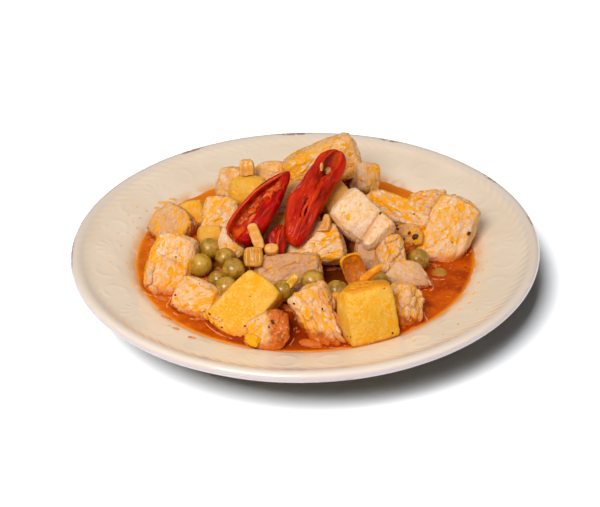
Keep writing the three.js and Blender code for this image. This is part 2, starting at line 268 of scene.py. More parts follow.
def painted(tree, name, output="Fac"):
    return wire(tree, "ShaderNodeAttribute", attribute_name=name).outputs[output]


def place_in_mm(tree):
    """Where on the food a spot is, in millimetres."""
    where = wire(tree, "ShaderNodeTexCoord").outputs["Object"]
    return wire(tree, "ShaderNodeVectorMath", {0: where, "Scale": 1 / MM}, operation="SCALE").outputs[0]


def noise(tree, vector, size, detail=2.0, wobble=0.0):
    """Lumps of about that many millimetres."""
    inputs = {"Vector": vector, "Scale": 1 / size, "Detail": detail, "Distortion": wobble}
    return wire(tree, "ShaderNodeTexNoise", inputs).outputs["Fac"]


def spread(tree, value, low, high, start=0.0, end=1.0):
    inputs = {"Value": value, "From Min": low, "From Max": high, "To Min": start, "To Max": end}
    kind = "ShaderNodeMapRange"
    return wire(tree, kind, inputs, interpolation_type="SMOOTHSTEP").outputs["Result"]


def math_of(tree, operation, *values):
    return wire(tree, "ShaderNodeMath", dict(enumerate(values)), operation=operation).outputs[0]


def times(tree, first, second):
    return math_of(tree, "MULTIPLY", first, second)


print("mid grey as light:", round(colour(128, 128, 128)[0], 3))

# %% Lay colour over colour


def mix(tree, share, under, over, strength=1.0):
    """Lays a colour over another where the share says so, and no stronger than that."""
    if strength < 1:
        share = times(tree, share, strength)
    under, over = (colour(*tone) if isinstance(tone, tuple) else tone for tone in (under, over))
    return wire(tree, "ShaderNodeMix", {0: share, 6: under, 7: over}, data_type="RGBA").outputs[2]


def layered(tree, under, *layers):
    """Each layer has its share, its colour and, where it is thinner, its strength."""
    for share, over, *strength in layers:
        under = mix(tree, share, under, over, *strength)
    return under


def finish_of(name):
    material = bpy.data.materials.new(name)
    material.use_nodes = True
    tree = material.node_tree
    return material, tree, tree.nodes["Principled BSDF"]


def connect(tree, shader, **sockets):
    for name, value in sockets.items():
        feed(tree, shader.inputs[name.replace("_", " ").title().replace("Ior", "IOR")], value)


def bump(tree, height, depth):
    """A relief of that many millimetres that is too fine for the mesh."""
    return wire(tree, "ShaderNodeBump", {"Height": height, "Distance": depth * MM}).outputs["Normal"]


print("a finish is built with:", ", ".join(step.__name__ for step in (finish_of, layered, bump, connect)))

# %% [markdown]
# ## Effects that several finishes share
# Orange oil from the liquor lies on everything that stands above it, in flecks that gather in patches, and
# what stands in the liquor is stained by it. Both effects are groups: their inputs let every finish choose
# its own size, amount and level.

# %% Build the shared groups


def new_group(name, inputs, outputs):
    """inputs and outputs name their sockets and give each one's kind and, for an input, its value."""
    group = bpy.data.node_groups.new(name, "ShaderNodeTree")
    for title, (kind, value) in inputs.items():
        socket = group.interface.new_socket(title, in_out="INPUT", socket_type=kind)
        if value is not None:
            socket.default_value = value
    for title, kind in outputs.items():
        group.interface.new_socket(title, in_out="OUTPUT", socket_type=kind)
    return group, group.nodes.new("NodeGroupInput").outputs, group.nodes.new("NodeGroupOutput").inputs


NUMBER = "NodeSocketFloat"
VECTOR = "NodeSocketVector"

oil_flecks, given, made = new_group(
    "oil flecks",
    {"Place": (VECTOR, None), "Size": (NUMBER, 1.2), "Amount": (NUMBER, 0.5), "Seed": (NUMBER, 0.0)},
    {"Mask": NUMBER},
)


def seeded_noise(scale, **more):
    inputs = {"Vector": given["Place"], "Scale": scale, "W": given["Seed"], **more}
    return wire(oil_flecks, "ShaderNodeTexNoise", inputs, noise_dimensions="4D").outputs["Fac"]


per_mm = math_of(oil_flecks, "DIVIDE", 1.0, given["Size"])
fine_crests = seeded_noise(per_mm, Detail=1.5, Distortion=0.4)
patches = seeded_noise(times(oil_flecks, per_mm, 0.17), Detail=1.0)
# Where the patches and the wanted amount add up, a lower crest of the fine noise is already a fleck.
wetness = math_of(oil_flecks, "MULTIPLY_ADD", given["Amount"], 0.14, times(oil_flecks, patches, 0.5))
above = math_of(oil_flecks, "ADD", fine_crests, wetness)
oil_flecks.links.new(spread(oil_flecks, above, 0.895, 0.93), made["Mask"])

liquor_stain, given, made = new_group(
    "liquor stain",
    {"Place": (VECTOR, None), "Level": (NUMBER, 18.0), "Reach": (NUMBER, 3.0)},
    {"Mask": NUMBER},
)
height = wire(liquor_stain, "ShaderNodeSeparateXYZ", {"Vector": given["Place"]}).outputs["Z"]
ragged = times(liquor_stain, noise(liquor_stain, given["Place"], 2.6, 3.0), 3.4)
depth = math_of(liquor_stain, "SUBTRACT", math_of(liquor_stain, "SUBTRACT", height, ragged), given["Level"])
dry = math_of(liquor_stain, "DIVIDE", depth, given["Reach"])
liquor_stain.links.new(spread(liquor_stain, dry, 1.0, -0.6), made["Mask"])


def use_group(tree, group, **inputs):
    node = wire(tree, "ShaderNodeGroup", node_tree=group)
    for name, value in inputs.items():
        feed(tree, node.inputs[name], value)
    return node.outputs["Mask"]


print("groups:", [group.name for group in bpy.data.node_groups])

# %% [markdown]
# ## Turning a solid into food
# The solids are faceted. A fine, even skin is laid over each one by remeshing it in small cells, and a
# little smoothing takes the facets' edges away while the knife's edges stay. Then every point moves along
# its normal: broad dents first, then what the food is made of. Where a piece shows one particular cut or
# crack, the groove is drawn between two spots of the picture.

# %% Lay a fine skin over a solid


def fine_skin(node, cell, rounding):
    """A copy of one solid in cells of that many millimetres, smoothed that many times."""
    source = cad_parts[node]
    rough = put(node, source.data.copy())
    remesh = rough.modifiers.new("even cells", "REMESH")
    remesh.mode = "VOXEL"
    remesh.voxel_size = cell * MM
    soften = rough.modifiers.new("soften", "SMOOTH")
    soften.iterations = rounding
    soften.factor = 0.5
    seen = rough.evaluated_get(bpy.context.evaluated_depsgraph_get())
    mesh = bpy.data.meshes.new_from_object(seen)
    bpy.data.objects.remove(rough)
    mesh.shade_smooth()
    return put(node + "_food", mesh)


def picture_direction(degrees):
    """A direction in the picture, counted from its right side upward, lying over the table."""
    angle = math.radians(degrees)
    return np.array(VIEW_RIGHT * math.cos(angle) + VIEW_UP * math.sin(angle))


def along_grain(points, grain, stretch):
    """The points with the space squeezed along the grain, so that lumps turn into streaks."""
    reach = points @ grain
    return points - np.outer(reach, grain) * (1 - 1 / stretch)


def groove(points, normals, start, end, width):
    """1 on the line between two spots of the picture, fading over that width, on what faces the eye."""
    from_eye = points - np.array(eye)
    first, last = np.array(sight(*start)), np.array(sight(*end))
    across = np.cross(first, last)
    across /= np.linalg.norm(across)
    along = last - first
    share = ((from_eye / np.linalg.norm(from_eye, axis=1)[:, None] - first) @ along) / (along @ along)
    inside = smooth_step(-0.12, 0.05, share) * smooth_step(1.12, 0.95, share)
    facing = smooth_step(-0.2, 0.25, -(normals * from_eye).sum(1) / np.linalg.norm(from_eye, axis=1))
    return np.exp(-(((from_eye @ across) / width) ** 2)) * inside * facing


print("the picture's right side is", [round(v, 2) for v in picture_direction(0)], "in the frame")

# %% [markdown]
# ## Chicken
# Poached breast is cut across and along its fibres. It comes apart in long bundles with gaps between them,
# stepped where some have torn away, and where the fibres are cut off it is crumbly. It is cream to rosy
# white and flecked with orange oil where the liquor ran over it. Its gaps and cracks are darkened with
# painted shade, and chunks deep in the heap with a rosier painted shade. The grain of each chunk is given
# by the way it runs in the picture. Painting the streaked space, the gaps' shade and the oil onto the points
# lets one material serve every chunk.

# %% Chicken finish


def chicken_finish():
    material, tree, shader = finish_of("poached chicken")
    where = place_in_mm(tree)
    grain = painted(tree, "grain", "Vector")
    oily, coarse, soaked = (painted(tree, name) for name in ("oily", "coarse", "soaked"))
    broad = noise(tree, where, 5.0, 3.0)
    fibre = noise(tree, grain, 0.9, 3.0)
    crumb = noise(tree, where, 1.3, 2.0)
    flecks = use_group(tree, oil_flecks, Place=grain, Size=1.6, Amount=oily)
    small_flecks = use_group(tree, oil_flecks, Place=where, Size=1.2, Amount=oily, Seed=2.0)
    wash = times(tree, spread(tree, noise(tree, where, 4.0, 3.0), 0.44, 0.6), oily)
    meat = layered(
        tree,
        (240, 204, 168),
        (spread(tree, broad, 0.38, 0.62), (238, 192, 136)),
        (spread(tree, fibre, 0.34, 0.5, 0.4, 0.0), (226, 168, 104)),
        (times(tree, spread(tree, crumb, 0.52, 0.62, 0.0, 0.8), coarse), (250, 220, 194)),
        (times(tree, spread(tree, crumb, 0.46, 0.34, 0.0, 0.6), coarse), (220, 150, 96)),
        # Rosy tone, partly the meat's own and partly painted shade on chunks deep in the heap.
        (painted(tree, "rosy_and_shade"), (196, 138, 96), 0.85),
        (wash, (240, 164, 62), 0.65),
        # Painted shade in the gaps between fibre bundles and in the cracks.
        (painted(tree, "gap"), (206, 120, 40), 0.5),
        (flecks, (246, 160, 0)),
        (small_flecks, (244, 172, 40), 0.55),
        (soaked, (206, 94, 0)),
        (times(tree, soaked, spread(tree, broad, 0.48, 0.6, 0.0, 0.65)), (146, 58, 2)),
        (times(tree, soaked, spread(tree, crumb, 0.56, 0.64, 0.0, 0.6)), (240, 176, 96)),
        (use_group(tree, liquor_stain, Place=where, Level=17.8, Reach=2.6), (210, 94, 4), 0.85),
    )
    relief = math_of(tree, "ADD", fibre, times(tree, crumb, 0.7))
    connect(tree, shader, base_color=meat, roughness=math_of(tree, "MULTIPLY_ADD", flecks, -0.12, 0.4))
    connect(tree, shader, normal=bump(tree, relief, 0.45), subsurface_weight=0.08, subsurface_scale=0.001)
    connect(tree, shader, subsurface_radius=(1.0, 0.6, 0.35), specular_ior_level=0.16)
    return material


chicken_material = chicken_finish()
print("finish:", chicken_material.name, len(chicken_material.node_tree.nodes), "nodes")

# %% List the chunks
# The grain's run in the picture in degrees, how oily the piece looks, how rosy it looks, a tone that also
# carries painted shade, how flaky it is, and the side to which its oil has run, in degrees, or nothing.
CHICKEN = {
    "white_cube": (75, -0.15, 0.0, 0.15, 200),
    "under_chili": (10, 0.3, 0.05, 0.3, 300),
    "top_back": (35, 1.1, 0.05, 0.5, 190),
    "far_left": (80, 0.7, 0.1, 0.6, None),
    "far_middle": (10, 0.8, 0.1, 0.5, None),
    "centre_left": (35, 0.8, 0.0, 0.5, 120),
    "below_chili": (80, 0.6, 0.1, 0.3, None),
    "right_top": (100, 0.65, 0.35, 0.5, None),
    "right_long": (-25, 0.65, 0.1, 0.8, 150),
    "right_flaky": (20, 0.8, 0.0, 1.0, None),
    "right_large": (55, 0.65, 0.05, 0.3, 150),
    "right_middle": (60, 0.55, 0.3, 0.9, None),
    "right_wedge": (-20, 0.2, 0.5, 0.3, None),
    "right_inner": (80, 0.1, 0.8, 0.4, None),
    "peppered": (0, 0.9, 1.2, 0.4, None),
    "front_middle": (-55, 0.8, 0.1, 0.9, 210),
    "front_small": (70, 0.75, 0.25, 0.3, 200),
    "front_far_right": (75, 0.7, 0.2, 0.9, 180),
    "left_front": (0, 0.6, 0.05, 0.15, None),
    "left_round": (75, 1.0, 0.0, 0.6, 225),
    "left_back": (70, 0.75, 0.7, 0.6, 90),
    "centre": (30, 0.1, 0.9, 0.75, None),
    "inside_top": (20, 0.8, 0.6, 0.4, None),
    "inside_back": (0, 0.7, 0.2, 0.5, None),
    "inside_right": (30, 0.5, 0.5, 0.4, None),
    "inside_left": (0, 0.5, 0.6, 0.4, None),
    "back_left": (10, 0.7, 0.1, 0.5, None),
    "back_right": (150, 0.7, 0.1, 0.5, None),
}

CRISP = ("white_cube", "right_wedge", "front_small", "under_chili", "right_large", "left_front")

# Faces that have lain in the liquor: the side in degrees and how far out from the middle the stain starts.
SOAKED = {
    "front_small": (5, -0.1),
    "front_far_right": (-100, 0.35),
    "front_middle": (-110, 0.35),
    # The inner carriers are stained all over, which also paints the shade that lies deep in the heap.
    "inside_left": (0, -2),
    "inside_right": (0, -2),
    "inside_back": (0, -2),
}

# Single cracks and folds: where each starts and ends in the picture, its depth and its width.
CRACKS = {
    "white_cube": [((380, 214), (359, 246), 1.1, 0.9)],
    "front_middle": [((300, 298), (341, 343), 0.8, 0.5), ((316, 292), (333, 312), 0.9, 0.6)],
    "front_small": [((284, 313), (276, 330), 0.7, 0.6), ((276, 330), (284, 342), 0.6, 0.5)],
    "right_long": [((371, 196), (396, 216), 0.8, 0.7), ((392, 196), (408, 222), 0.7, 0.6)],
    "left_front": [((176, 277), (214, 290), 0.7, 0.6)],
    "left_round": [((160, 256), (182, 267), 1.2, 0.9), ((172, 270), (176, 292), 0.9, 0.7)],
    "right_middle": [((383, 236), (396, 262), 0.8, 0.6)],
    "centre": [((262, 274), (284, 262), 0.6, 0.5)],
    "right_large": [((468, 196), (455, 262), 0.5, 0.8)],
}

print("chunks:", len(CHICKEN), "of which keep sharp corners:", len(CRISP))

# %% Cut, chip and tear
# By how much a smoothed skin is blown up again, as smoothing makes it shrink.
SWELL = 0.5

# Faces that the knife set deeper, or that bulge: the side in the picture in degrees, and how many mm.
CUTS = {
    "chicken_white_cube": [(46, 2.6)],
    "chicken_right_wedge": [(-75, 1.0), (140, 1.2)],
    "chicken_front_small": [(-42, 4.0), (8, 2.4), (60, 1.2), (-100, 0.8)],
    "potato_front_right": [(178, 1.8), (135, 3.0), (95, 1.2)],
}
BULGES = {
    "chicken_right_large": [(-12, 2.2), (-60, 1.6)],
    "chicken_right_wedge": [(-8, 1.2)],
    "chicken_left_round": [(185, 1.6), (235, 1.2)],
}


def trim(points, node):
    """Cuts and bulges of one piece, each toward a side of the picture."""
    for side, deep in CUTS.get(node, []):
        way = picture_direction(side)
        beyond = points @ way - (points @ way).max() + deep
        points = points - np.outer(np.clip(beyond, 0, None) * 0.92, way)
    for side, far in BULGES.get(node, []):
        way = picture_direction(side)
        share = (points @ way - (points @ way).min()) / np.ptp(points @ way)
        points = points + np.outer(far * share**2, way)
    return points


def chip(points, seed, cuts, deepest):
    """Takes slices off the corners and edges, as uneven cutting leaves them."""
    draw = np.random.default_rng(seed)
    middle = points.mean(0)
    for _ in range(cuts):
        way = random_way(draw)
        beyond = (points - middle) @ way
        beyond -= beyond.max() - draw.uniform(0.3, 1.0) * deepest
        points = points - np.outer(np.clip(beyond, 0, None) * 0.9, way)
    return points


def torn(points, grain, flaky, seed):
    """How far each point of a chunk lies out from the smooth cut, in millimetres, and its painted gap shade.
    """
    wandering = points + drift(points, 4.0, seed + 21) * 0.8
    rim, mark, slope = flakes(along_grain(wandering, grain, 2.2), 3.8, seed + 1)
    gap = smooth_step(0.12, 0.0, rim)
    fine_rim, fine_mark, fine_slope = flakes(along_grain(wandering, grain, 3.0), 1.7, seed + 2)
    strand = smooth_step(0.25, 0.0, fine_rim)
    patchy = smooth_step(-0.4, 0.3, lumps(points, 6.0, seed + 3, 2) + flaky - 0.4)
    steps = ((mark - 0.5) * (0.25 + 0.5 * flaky) + slope * (0.35 + 0.6 * flaky)) * (0.35 + 0.65 * patchy)
    steps += ((fine_mark - 0.5) * 0.25 + fine_slope * 0.4) * (0.25 + 0.75 * flaky)
    depth = gap * (0.05 + 0.3 * flaky) * patchy + strand * (0.02 + 0.08 * flaky)
    crumb = lumps(points, 1.1, seed + 4, 2) * (0.07 + 0.12 * flaky)
    dents = lumps(points, 8.0, seed + 5, 2) * 0.22
    gap_shade = np.clip(gap * patchy * (0.1 + 0.6 * flaky) + 0.3 * strand * flaky, 0, 1)
    return SWELL + dents + steps + crumb - depth, gap_shade


print("cut or bulged:", len({*CUTS, *BULGES}), "cracked:", len(CRACKS))

# %% Shape the chicken
CHICKEN_CELL = 0.45


def make_chicken(name, seed):
    run, oily, rosy_and_shade, flaky, oil_side = CHICKEN[name]
    grain = picture_direction(run)
    node = "chicken_" + name
    thing = fine_skin(node, CHICKEN_CELL, 1)
    move_points(thing, trim(chip(points_of(thing), seed, 12, 0.5 if name in CRISP else 1.1), node))
    points, normals = points_of(thing), normals_of(thing)
    wobble = drift(points, 7.0, seed + 11, 2)
    out, gap = torn(points, grain, flaky, seed)
    for start, end, deep, width in CRACKS.get(name, []):
        crack = groove(points + wobble * 0.5, normals, start, end, width)
        out -= deep * crack
        # A crack is also painted with shade.
        gap = np.maximum(gap, 0.55 * crack)
    shaped = points + wobble * (0.2 + 0.4 * flaky) + normals * out[:, None]
    move_points(thing, shaped)
    middle, reach = shaped.mean(0), np.ptp(shaped, axis=0).max() / 2
    lean = (shaped - middle) @ picture_direction(oil_side) / reach if oil_side is not None else 0
    paint(thing, "grain", along_grain(shaped, grain, 2.2) + seed * 7.0)
    paint(thing, "oily", np.clip(oily + 0.45 * lean + 0.35 * lumps(shaped, 8.0, seed + 6, 2), 0, 1.5))
    # The rosy tone doubles as painted shade for chunks deep in the heap; the gaps and cracks carry painted
    # shade.
    paint(thing, "rosy_and_shade", np.clip(rosy_and_shade - 0.15 * lean + 0.3 * lumps(shaped, 8.0, seed + 7, 2), 0, 1))
    paint(thing, "gap", gap)
    paint(thing, "coarse", 0.25 + 0.75 * flaky)
    side, start = SOAKED.get(name, (0, 9.0))
    along = (shaped - middle) @ picture_direction(side) / reach + 0.12 * lumps(shaped, 2.5, seed + 8, 2)
    paint(thing, "soaked", smooth_step(start - 0.12, start + 0.12, along) * 0.94)
    return stands_for(thing, "chicken", chicken_material, node)


chicken = [make_chicken(name, 100 + 20 * index) for index, name in enumerate(CHICKEN)]
print("chicken:", len(chicken), "pieces,", sum(len(c.data.polygons) for c in chicken), "faces")

# %% [markdown]
# ## Potato
# Boiled potato keeps the knife's flat faces while its edges cook away, one cube's more than another's, so
# each is smoothed by its own amount. Its surface is a fine grain of cooked starch: a deep yellow with paler
# freckles where the grains stand out.

# %% Potato finish


def potato_finish():
    material, tree, shader = finish_of("boiled potato")
    where = place_in_mm(tree)
    grainy = noise(tree, where, 1.0, 3.0)
    broad = noise(tree, where, 5.0, 3.0)
    flecks = use_group(tree, oil_flecks, Place=where, Size=1.3, Amount=painted(tree, "oily"), Seed=3.0)
    flesh = layered(
        tree,
        (238, 182, 74),
        (spread(tree, broad, 0.38, 0.62), (236, 170, 44)),
        (flecks, (244, 164, 0)),
        (spread(tree, grainy, 0.6, 0.68, 0.0, 0.65), (246, 206, 150)),
        (painted(tree, "shade"), (200, 138, 62)),
        (painted(tree, "glazed"), (228, 132, 6)),
        (use_group(tree, liquor_stain, Place=where, Level=17.0, Reach=2.0), (222, 114, 4), 0.75),
    )
    connect(tree, shader, base_color=flesh, roughness=spread(tree, grainy, 0.3, 0.7, 0.38, 0.6))
    connect(tree, shader, normal=bump(tree, grainy, 0.3), subsurface_weight=0.15, subsurface_scale=0.001)
    connect(tree, shader, subsurface_radius=(1.0, 0.7, 0.25), specular_ior_level=0.12)
    return material


potato_material = potato_finish()
print("finish:", potato_material.name)

# %% Shape the potato
POTATO_CELL = 0.5

# How much painted shade each cube gets, how oily it has become, and how far its edges have cooked away.
POTATO = {
    "front_left": (0.0, 0.75, 3),
    "front_right": (0.0, 0.6, 18),
    "behind_chili": (0.1, 0.5, 8),
    "shaded": (0.75, 0.2, 3),
    "left_back": (0.0, 0.9, 3),
    "centre_left": (0.2, 0.5, 3),
    "scrap": (0.0, 0.3, 3),
}


def make_potato(name, seed):
    brown, oily, soft = POTATO[name]
    thing = fine_skin("potato_" + name, POTATO_CELL, soft)
    move_points(thing, trim(chip(points_of(thing), seed, 8, 0.8), "potato_" + name))
    points, normals = points_of(thing), normals_of(thing)
    starch = lumps(points, 1.4, seed, 2) * 0.12
    bruises = lumps(points, 5.5, seed + 1, 2) * 0.35
    out = starch + bruises + SWELL
    move_points(thing, points + drift(points, 9.0, seed + 2) * 0.4 + normals * out[:, None])
    # Painted shade, strongest on the cubes that lie in shade in the heap.
    paint(thing, "shade", np.clip(brown + 0.15 * lumps(points, 6.0, seed + 5, 2), 0, 1))
    paint(thing, "oily", np.clip(oily + 0.5 * lumps(points, 8.0, seed + 6), 0, 1.5))
    # Oil has pooled on the level top of one cube.
    level_top = smooth_step(0.45, 0.8, normals[:, 2] + 0.3 * lumps(points, 3.0, seed + 7, 2))
    paint(thing, "glazed", 0.7 * level_top * (name == "front_right"))
    return stands_for(thing, "potato", potato_material, "potato_" + name)


potatoes = [make_potato(name, 900 + 20 * index) for index, name in enumerate(POTATO)]
print("potato:", len(potatoes), "pieces,", sum(len(p.data.polygons) for p in potatoes), "faces")

# %% [markdown]
# ## Peas
# A cooked pea is a ball in a thin skin. Some skins sit loose and wrinkle, and most have a shallow dent. The
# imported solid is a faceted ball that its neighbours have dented, so a ball is fitted to the points that
# are still round and built afresh from a finely divided icosahedron.

# %% Pea finish


def pea_finish():
    material, tree, shader = finish_of("cooked pea")
    where = place_in_mm(tree)
    cloudy = noise(tree, where, 3.4, 2.0)
    mottled = noise(tree, where, 2.4, 2.0)
    freckles = use_group(tree, oil_flecks, Place=where, Size=1.3, Amount=0.4, Seed=5.0)
    skin = layered(
        tree,
        (134, 94, 4),
        # The pale tone is partly painted light on top of each pea, and painted shade on the peas in shade.
        (painted(tree, "tone"), (184, 140, 34)),
        (spread(tree, cloudy, 0.4, 0.65, 0.0, 0.6), (206, 158, 60)),
        (spread(tree, mottled, 0.5, 0.66, 0.0, 0.35), (212, 166, 70)),
        (spread(tree, mottled, 0.46, 0.34, 0.0, 0.3), (140, 92, 4)),
        (freckles, (222, 150, 40), 0.45),
        (use_group(tree, liquor_stain, Place=where, Level=17.5, Reach=1.5), (186, 100, 8), 0.6),
    )
    connect(tree, shader, base_color=skin, roughness=spread(tree, cloudy, 0.3, 0.7, 0.2, 0.36))
    connect(tree, shader, normal=bump(tree, noise(tree, where, 0.9, 2.0), 0.08))
    connect(tree, shader, subsurface_weight=0.1, subsurface_scale=0.001, specular_ior_level=0.4)
    connect(tree, shader, coat_weight=0.3, coat_roughness=0.1)
    return material


pea_material = pea_finish()
print("finish:", pea_material.name)

# %% Shape the peas
PEAS = [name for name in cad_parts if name.startswith("pea_")]
# The peas that lie in shade, painted darker, with their share of the pale tone.
SHADED_PEAS = {
    "pea_right": 0.25,
    "pea_left_back": 0.4,
    "pea_left_middle": 0.3,
    "pea_left_hidden": 0.2,
    "pea_left_low": 0.5,
    "pea_middle_left": 0.4,
    "pea_middle_right": 0.3,
    "pea_wrinkled": 0.4,
}
PEA_RADIUS = 5.2


def ball_through(points):
    """Centre and radius of the ball that most of the points lie on."""
    kept = points
    for _ in range(6):
        table = np.hstack([2 * kept, np.ones((len(kept), 1))])
        answer = np.linalg.lstsq(table, (kept**2).sum(1), rcond=None)[0]
        centre = answer[:3]
        far = np.linalg.norm(points - centre, axis=1)
        radius = np.median(far[far > np.quantile(far, 0.3)])
        near = np.abs(far - radius) < 0.35
        if near.sum() < 12:
            break
        kept = points[near]
    return centre, radius


def make_pea(node, seed):
    centre, radius = ball_through(points_of(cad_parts[node]))
    radius = float(np.clip(radius, PEA_RADIUS * 0.8, PEA_RADIUS * 1.08))
    bpy.ops.mesh.primitive_ico_sphere_add(subdivisions=5, radius=1.0)
    thing = bpy.context.object
    thing.name = node + "_food"
    ball = points_of(thing) * MM
    draw = np.random.default_rng(seed)
    dent_way = random_way(draw)
    toward_dent = np.clip(ball @ dent_way, 0, 1)
    wrinkled = 1.0 if node == "pea_wrinkled" else draw.uniform(0.05, 0.35)
    folds = np.abs(lumps(along_grain(ball, dent_way, 3.0), 0.34, seed)) ** 0.6 - 0.5
    uneven = 1 - 0.08 * toward_dent**5 + 0.035 * lumps(ball, 0.9, seed + 1, 2) + 0.035 * wrinkled * folds
    move_points(thing, centre + ball * radius * uneven[:, None] * np.array([1, 1, 0.95]))
    thing.data.shade_smooth()
    # Painted light: each pea is paler on top and browner below.
    tone = draw.uniform(0.2, 0.8) + 0.3 * lumps(ball, 1.1, seed + 2) + 0.35 * ball[:, 2]
    paint(thing, "tone", np.clip(tone * SHADED_PEAS.get(node, 1.0), 0, 1.2))
    return stands_for(thing, "pea", pea_material, node)


peas = [make_pea(node, 2000 + 10 * index) for index, node in enumerate(PEAS)]
print("peas:", len(peas))

# %% [markdown]
# ## Chilies
# Two halves of a red chili lie on top: curved shells with a thick, soft wall, cut open along their length.
# The same walk round the shell as in the solid gives the outer skin, the cut lip and the inner wall, only
# with far more steps, and painting the inside lets the finish tell skin from flesh.

# %% Chili finish


def chili_finish():
    material, tree, shader = finish_of("red chili")
    broad = noise(tree, place_in_mm(tree), 5.0, 2.0)
    streak = noise(tree, painted(tree, "grain", "Vector"), 1.3, 3.0)
    flesh = mix(tree, spread(tree, broad, 0.4, 0.6), (190, 36, 6), (222, 92, 12))
    skin = layered(
        tree,
        (174, 3, 1),
        (spread(tree, broad, 0.38, 0.62), (134, 0, 0)),
        # Ripeness, with painted light and shade on the folds: crests lighter, valleys darker.
        (painted(tree, "ripe_and_crest_light"), (204, 46, 6)),
        (spread(tree, streak, 0.52, 0.68, 0.0, 0.5), (220, 66, 10)),
        (painted(tree, "inside"), flesh),
        # The slit is painted dark as the shade inside it.
        (painted(tree, "slit_shade"), (64, 10, 4)),
        (painted(tree, "lip"), (222, 66, 12), 0.55),
    )
    connect(tree, shader, base_color=skin, roughness=spread(tree, broad, 0.3, 0.7, 0.16, 0.28))
    connect(tree, shader, normal=bump(tree, math_of(tree, "ADD", streak, broad), 0.15))
    connect(tree, shader, specular_ior_level=0.14)
    return material


chili_material = chili_finish()
print("finish:", chili_material.name)

# %% Walk round a shell
CHILI_WALL = 2.2
LIP_BULGE = 0.28


def lie(front, face, spin):
    """The turn and place of a piece: front is the middle of what shows, which looks along face."""
    azimuth, elevation = map(math.radians, face)
    level = math.cos(elevation)
    out = Vector((math.sin(azimuth) * level, -math.cos(azimuth) * level, math.sin(elevation)))
    right = Vector((math.cos(azimuth), math.sin(azimuth), 0))
    basis = Matrix((right, out.cross(right), out)).transposed().to_4x4()
    basis = basis @ Matrix.Rotation(math.radians(spin), 4, "Z")
    basis.translation = Vector(front)
    return basis


def shell(stations, arc, long, wide, high, bend, blunt, full, mouth, roll, sides, wall=CHILI_WALL, lip=5):
    """An open shell, ring by ring: the outer skin, the lip, the inner wall and the lip again. mouth tells
    how many degrees of the skin are missing, evenly from the blunt end to the tip, and sides how much
    wider or narrower than even the left and the right half are. For every point it also tells how far
    along the shell it lies, how deep in the wall, and whether it is on the lip."""
    turns = [k / (arc - 1) for k in range(arc)]
    lips = [(k + 1) / (lip + 1) for k in range(lip)]
    ring = [(share, 0.0, 0) for share in turns] + [(1.0, share, 1) for share in lips]
    ring += [(1 - share, 1.0, 0) for share in turns] + [(0.0, 1 - share, -1) for share in lips]
    share, sunk, side = np.array(ring).T
    points, rows = [], []
    for s in range(1, stations):
        t = (1 - math.cos(math.pi * s / stations)) / 2
        girth = math.sin(math.pi * t**blunt) ** full
        gape = math.radians(np.interp(t, np.linspace(0, 1, len(mouth)), mouth))
        thin = min(wall, girth * wide / 4)
        angle = math.pi / 2 + gape / 2 + share * (2 * math.pi - gape)
        angle += side * np.sin(math.pi * sunk) * LIP_BULGE * thin / max(girth * wide / 2, 1.0)
        left, right = (np.interp(t, np.linspace(0, 1, len(row)), row) for row in sides)
        reach = girth * wide / 2 * np.where(np.cos(angle) > 0, left, right) - thin * sunk
        across = bend * (1 - (2 * t - 1) ** 2) + np.cos(angle) * reach
        up = np.sin(angle) * (girth * high / 2 - thin * sunk)
        points.append(np.stack([np.full(len(ring), (t - 0.5) * long), across, up], 1))
        rows.append(np.stack([np.full(len(ring), t), sunk, np.abs(side)], 1))
    ends = [[-long / 2, 0, 0], [long / 2, 0, 0]]
    tilt = np.array(Matrix.Rotation(math.radians(roll), 3, "X"))
    points = np.vstack([*points, ends]) @ tilt.T - (0, 0, high / 2)
    return points, np.vstack([*rows, [[0, 0, 0], [1, 0, 0]]]), len(ring)


def ring_faces(rings, loop):
    """Quads between rings of that many points, and a fan at each end to two points that follow them."""
    k = np.arange(loop)
    after = (k + 1) % loop
    faces = []
    for r in range(rings - 1):
        this, following = r * loop, (r + 1) * loop
        faces += np.stack([this + k, this + after, following + after, following + k], 1).tolist()
    first, last = rings * loop, rings * loop + 1
    faces += [[first, b, a] for a, b in zip(k.tolist(), after.tolist())]
    faces += [[last, last - 1 - loop + a, last - 1 - loop + b] for a, b in zip(k.tolist(), after.tolist())]
    return faces


print("faces of a small shell:", len(ring_faces(3, 8)))

# %% Shape the chilies


